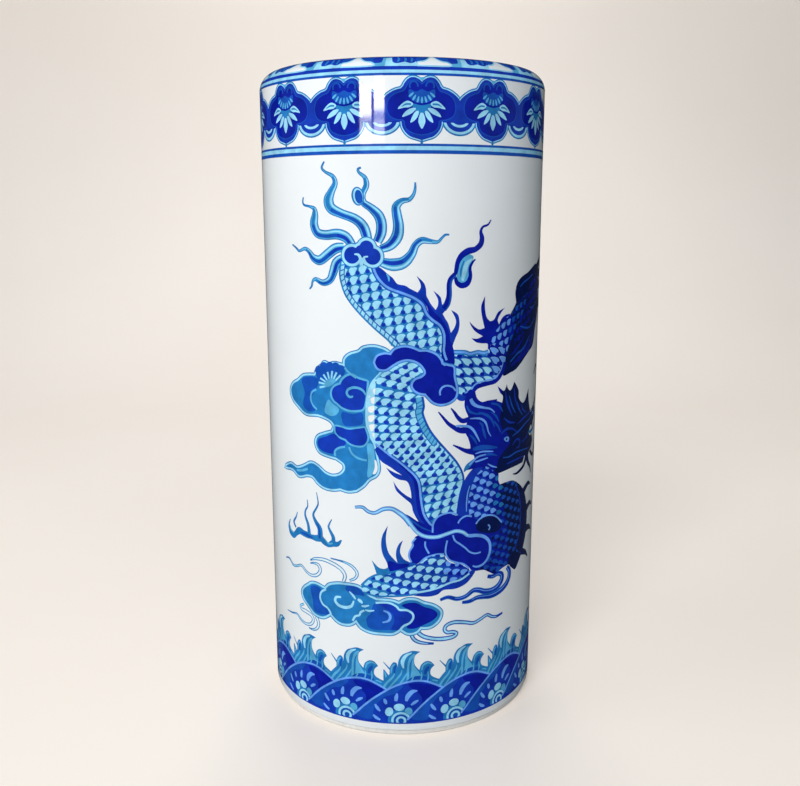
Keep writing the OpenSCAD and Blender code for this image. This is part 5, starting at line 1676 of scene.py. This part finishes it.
def make_dragons():
    """Dragon print from back to front, on the front of the pot and again half a turn round."""
    sheet = Sheet()
    trails(sheet)
    left_cloud(sheet)
    tail_flames(sheet)
    leg(sheet)
    hind_quarter(sheet)
    tail(sheet)
    tail_knot(sheet)
    long_flame(sheet)
    trunk(sheet)
    neck_coil(sheet)
    centre_cloud(sheet)
    head(sheet)
    lower_left_cloud(sheet)
    low_cloud(sheet)
    foreleg(sheet)
    drifting_flame(sheet)
    sheet.films("dragon_print", ["dragon_transfer_front", "dragon_transfer_back"], (0.0, 180.0))


make_outside()
make_inside()
make_foot()
dress_solids()
make_collar()
make_lip()
make_waves()
make_dragons()

# Camera as fitted to the photo, in millimetres and degrees

CAMERA_PLACE = (-3.313, -200.42, 109.51)
CAMERA_YAW = 0.794
CAMERA_PITCH = 11.842
CAMERA_ROLL = -0.067
CAMERA_LENS = 40.486
CAMERA_SENSOR = 36.0
CAMERA_NEAREST = 0.01


def make_camera():
    """Camera at the photo's place, turned by yaw, pitch and roll."""
    data = bpy.data.cameras.new("camera")
    data.sensor_width = CAMERA_SENSOR
    data.lens = CAMERA_LENS
    data.clip_start = CAMERA_NEAREST
    camera = bpy.data.objects.new("camera", data)
    bpy.context.collection.objects.link(camera)
    camera.location = [c * MM for c in CAMERA_PLACE]
    yaw, pitch = math.radians(CAMERA_YAW), math.radians(CAMERA_PITCH)
    ahead = Vector((math.sin(yaw) * math.cos(pitch), math.cos(yaw) * math.cos(pitch), -math.sin(pitch)))
    camera.rotation_euler = ahead.to_track_quat("-Z", "Y").to_euler()
    camera.rotation_euler.rotate_axis("Z", math.radians(CAMERA_ROLL))
    bpy.context.scene.camera = camera


# Floor, in metres

FLOOR_HALF = 1.6
FLOOR_BACK = 0.55
FLOOR_SWEEP_R = 0.25
FLOOR_SWEEP_STEPS = 12
FLOOR_TOP = 1.6
FLOOR_DARK = (0.87, 0.84, 0.8)
FLOOR_PALE = (0.89, 0.86, 0.825)
FLOOR_NOISE = 6.0
FLOOR_ROUGHNESS = 0.8
FLOOR_GLOW = (0.26, 0.225, 0.2, 1.0)
FLOOR_IN_GLAZE = (0.05, 0.055, 0.06, 1.0)


def only_for_camera(tree, shader):
    """Brightens the floor for the camera alone, and dims it where the glaze mirrors it."""
    path = tree.nodes.new("ShaderNodeLightPath")
    shader.inputs["Emission Color"].default_value = FLOOR_GLOW
    tree.links.new(path.outputs["Is Camera Ray"], shader.inputs["Emission Strength"])
    dim = tree.nodes.new("ShaderNodeBsdfDiffuse")
    dim.inputs["Color"].default_value = FLOOR_IN_GLAZE
    mix = tree.nodes.new("ShaderNodeMixShader")
    tree.links.new(path.outputs["Is Glossy Ray"], mix.inputs[0])
    tree.links.new(shader.outputs[0], mix.inputs[1])
    tree.links.new(dim.outputs[0], mix.inputs[2])
    tree.links.new(mix.outputs[0], tree.nodes["Material Output"].inputs["Surface"])


def make_floor():
    """Pale floor that sweeps up into a backdrop behind the pot."""
    sweep = FLOOR_SWEEP_R
    sweep_start = FLOOR_BACK - sweep
    section = [(-FLOOR_HALF, 0.0), (sweep_start, 0.0)]
    for step in range(1, FLOOR_SWEEP_STEPS + 1):
        angle = math.pi / 2 * step / FLOOR_SWEEP_STEPS
        section.append((sweep_start + sweep * math.sin(angle), sweep - sweep * math.cos(angle)))
    section.append((FLOOR_BACK, FLOOR_TOP))
    verts = [(x, y, z) for x in (-FLOOR_HALF, FLOOR_HALF) for y, z in section]
    count = len(section)
    faces = [(i, count + i, count + i + 1, i + 1) for i in range(count - 1)]
    mesh = bpy.data.meshes.new("floor")
    mesh.from_pydata(verts, [], faces)
    mesh.shade_smooth()
    floor = bpy.data.objects.new("floor", mesh)
    bpy.context.collection.objects.link(floor)
    material, tree, shader = principled("floor")
    noise_between(tree, shader, "Base Color", linear(FLOOR_DARK), linear(FLOOR_PALE), FLOOR_NOISE)
    shader.inputs["Roughness"].default_value = FLOOR_ROUGHNESS
    only_for_camera(tree, shader)
    mesh.materials.append(material)


# Lamps, in metres and watts: name, place, size and power. Panes are the window's glare on the collar

LAMPS = (
    ("key", (-0.2, -0.6, 0.5), (0.4, 0.4), 4.8),
    ("left", (-0.9, -0.2, 0.35), (0.4, 0.4), 1.75),
    ("back", (0.0, 0.46, 0.45), (0.3, 0.3), 1.2),
)
PANES = (
    ("pane_left", (-0.49, -0.9, 0.246), (0.163, 0.06), 0.9),
    ("pane_right", (-0.296, -0.9, 0.246), (0.132, 0.06), 0.72),
    ("pane_left_low", (-0.49, -0.9, 0.197), (0.163, 0.02), 0.13),
    ("pane_right_low", (-0.296, -0.9, 0.197), (0.132, 0.02), 0.1),
)
POT_MIDDLE = (0, 0, 0.07)
COLLAR_MIDDLE = (0, 0, 0.127)
SKY_LIGHT = (0.5, 0.74, 1.0, 1.0)
SKY_STRENGTH = 0.18
BACKGROUND = (0.8, 0.75, 0.71, 1.0)


def area_light(name, place, size, power, target):
    """Flat lamp that faces a target."""
    data = bpy.data.lights.new(name, "AREA")
    data.shape = "RECTANGLE"
    data.size, data.size_y = size
    data.energy = power
    light = bpy.data.objects.new(name, data)
    bpy.context.collection.objects.link(light)
    light.location = place
    light.rotation_euler = (Vector(target) - Vector(place)).to_track_quat("-Z", "Y").to_euler()
    return light


def make_lights():
    """Lamps that only light the pot, and panes that only show in its gloss."""
    for lamp in LAMPS:
        area_light(*lamp, POT_MIDDLE).visible_glossy = False
    for pane in PANES:
        area_light(*pane, COLLAR_MIDDLE).visible_diffuse = False


def make_world():
    """Weak sky that fills the shadows, with a plain warm background for the camera."""
    world = bpy.data.worlds.new("world")
    world.use_nodes = True
    tree = world.node_tree
    sky = tree.nodes["Background"]
    sky.inputs["Color"].default_value = SKY_LIGHT
    sky.inputs["Strength"].default_value = SKY_STRENGTH
    seen = tree.nodes.new("ShaderNodeBackground")
    seen.inputs["Color"].default_value = BACKGROUND
    path = tree.nodes.new("ShaderNodeLightPath")
    mix = tree.nodes.new("ShaderNodeMixShader")
    tree.links.new(path.outputs["Is Camera Ray"], mix.inputs[0])
    tree.links.new(sky.outputs[0], mix.inputs[1])
    tree.links.new(seen.outputs[0], mix.inputs[2])
    tree.links.new(mix.outputs[0], tree.nodes["World Output"].inputs["Surface"])
    bpy.context.scene.world = world


make_camera()
make_floor()
make_lights()
make_world()
bpy.context.scene.view_settings.view_transform = "Standard"
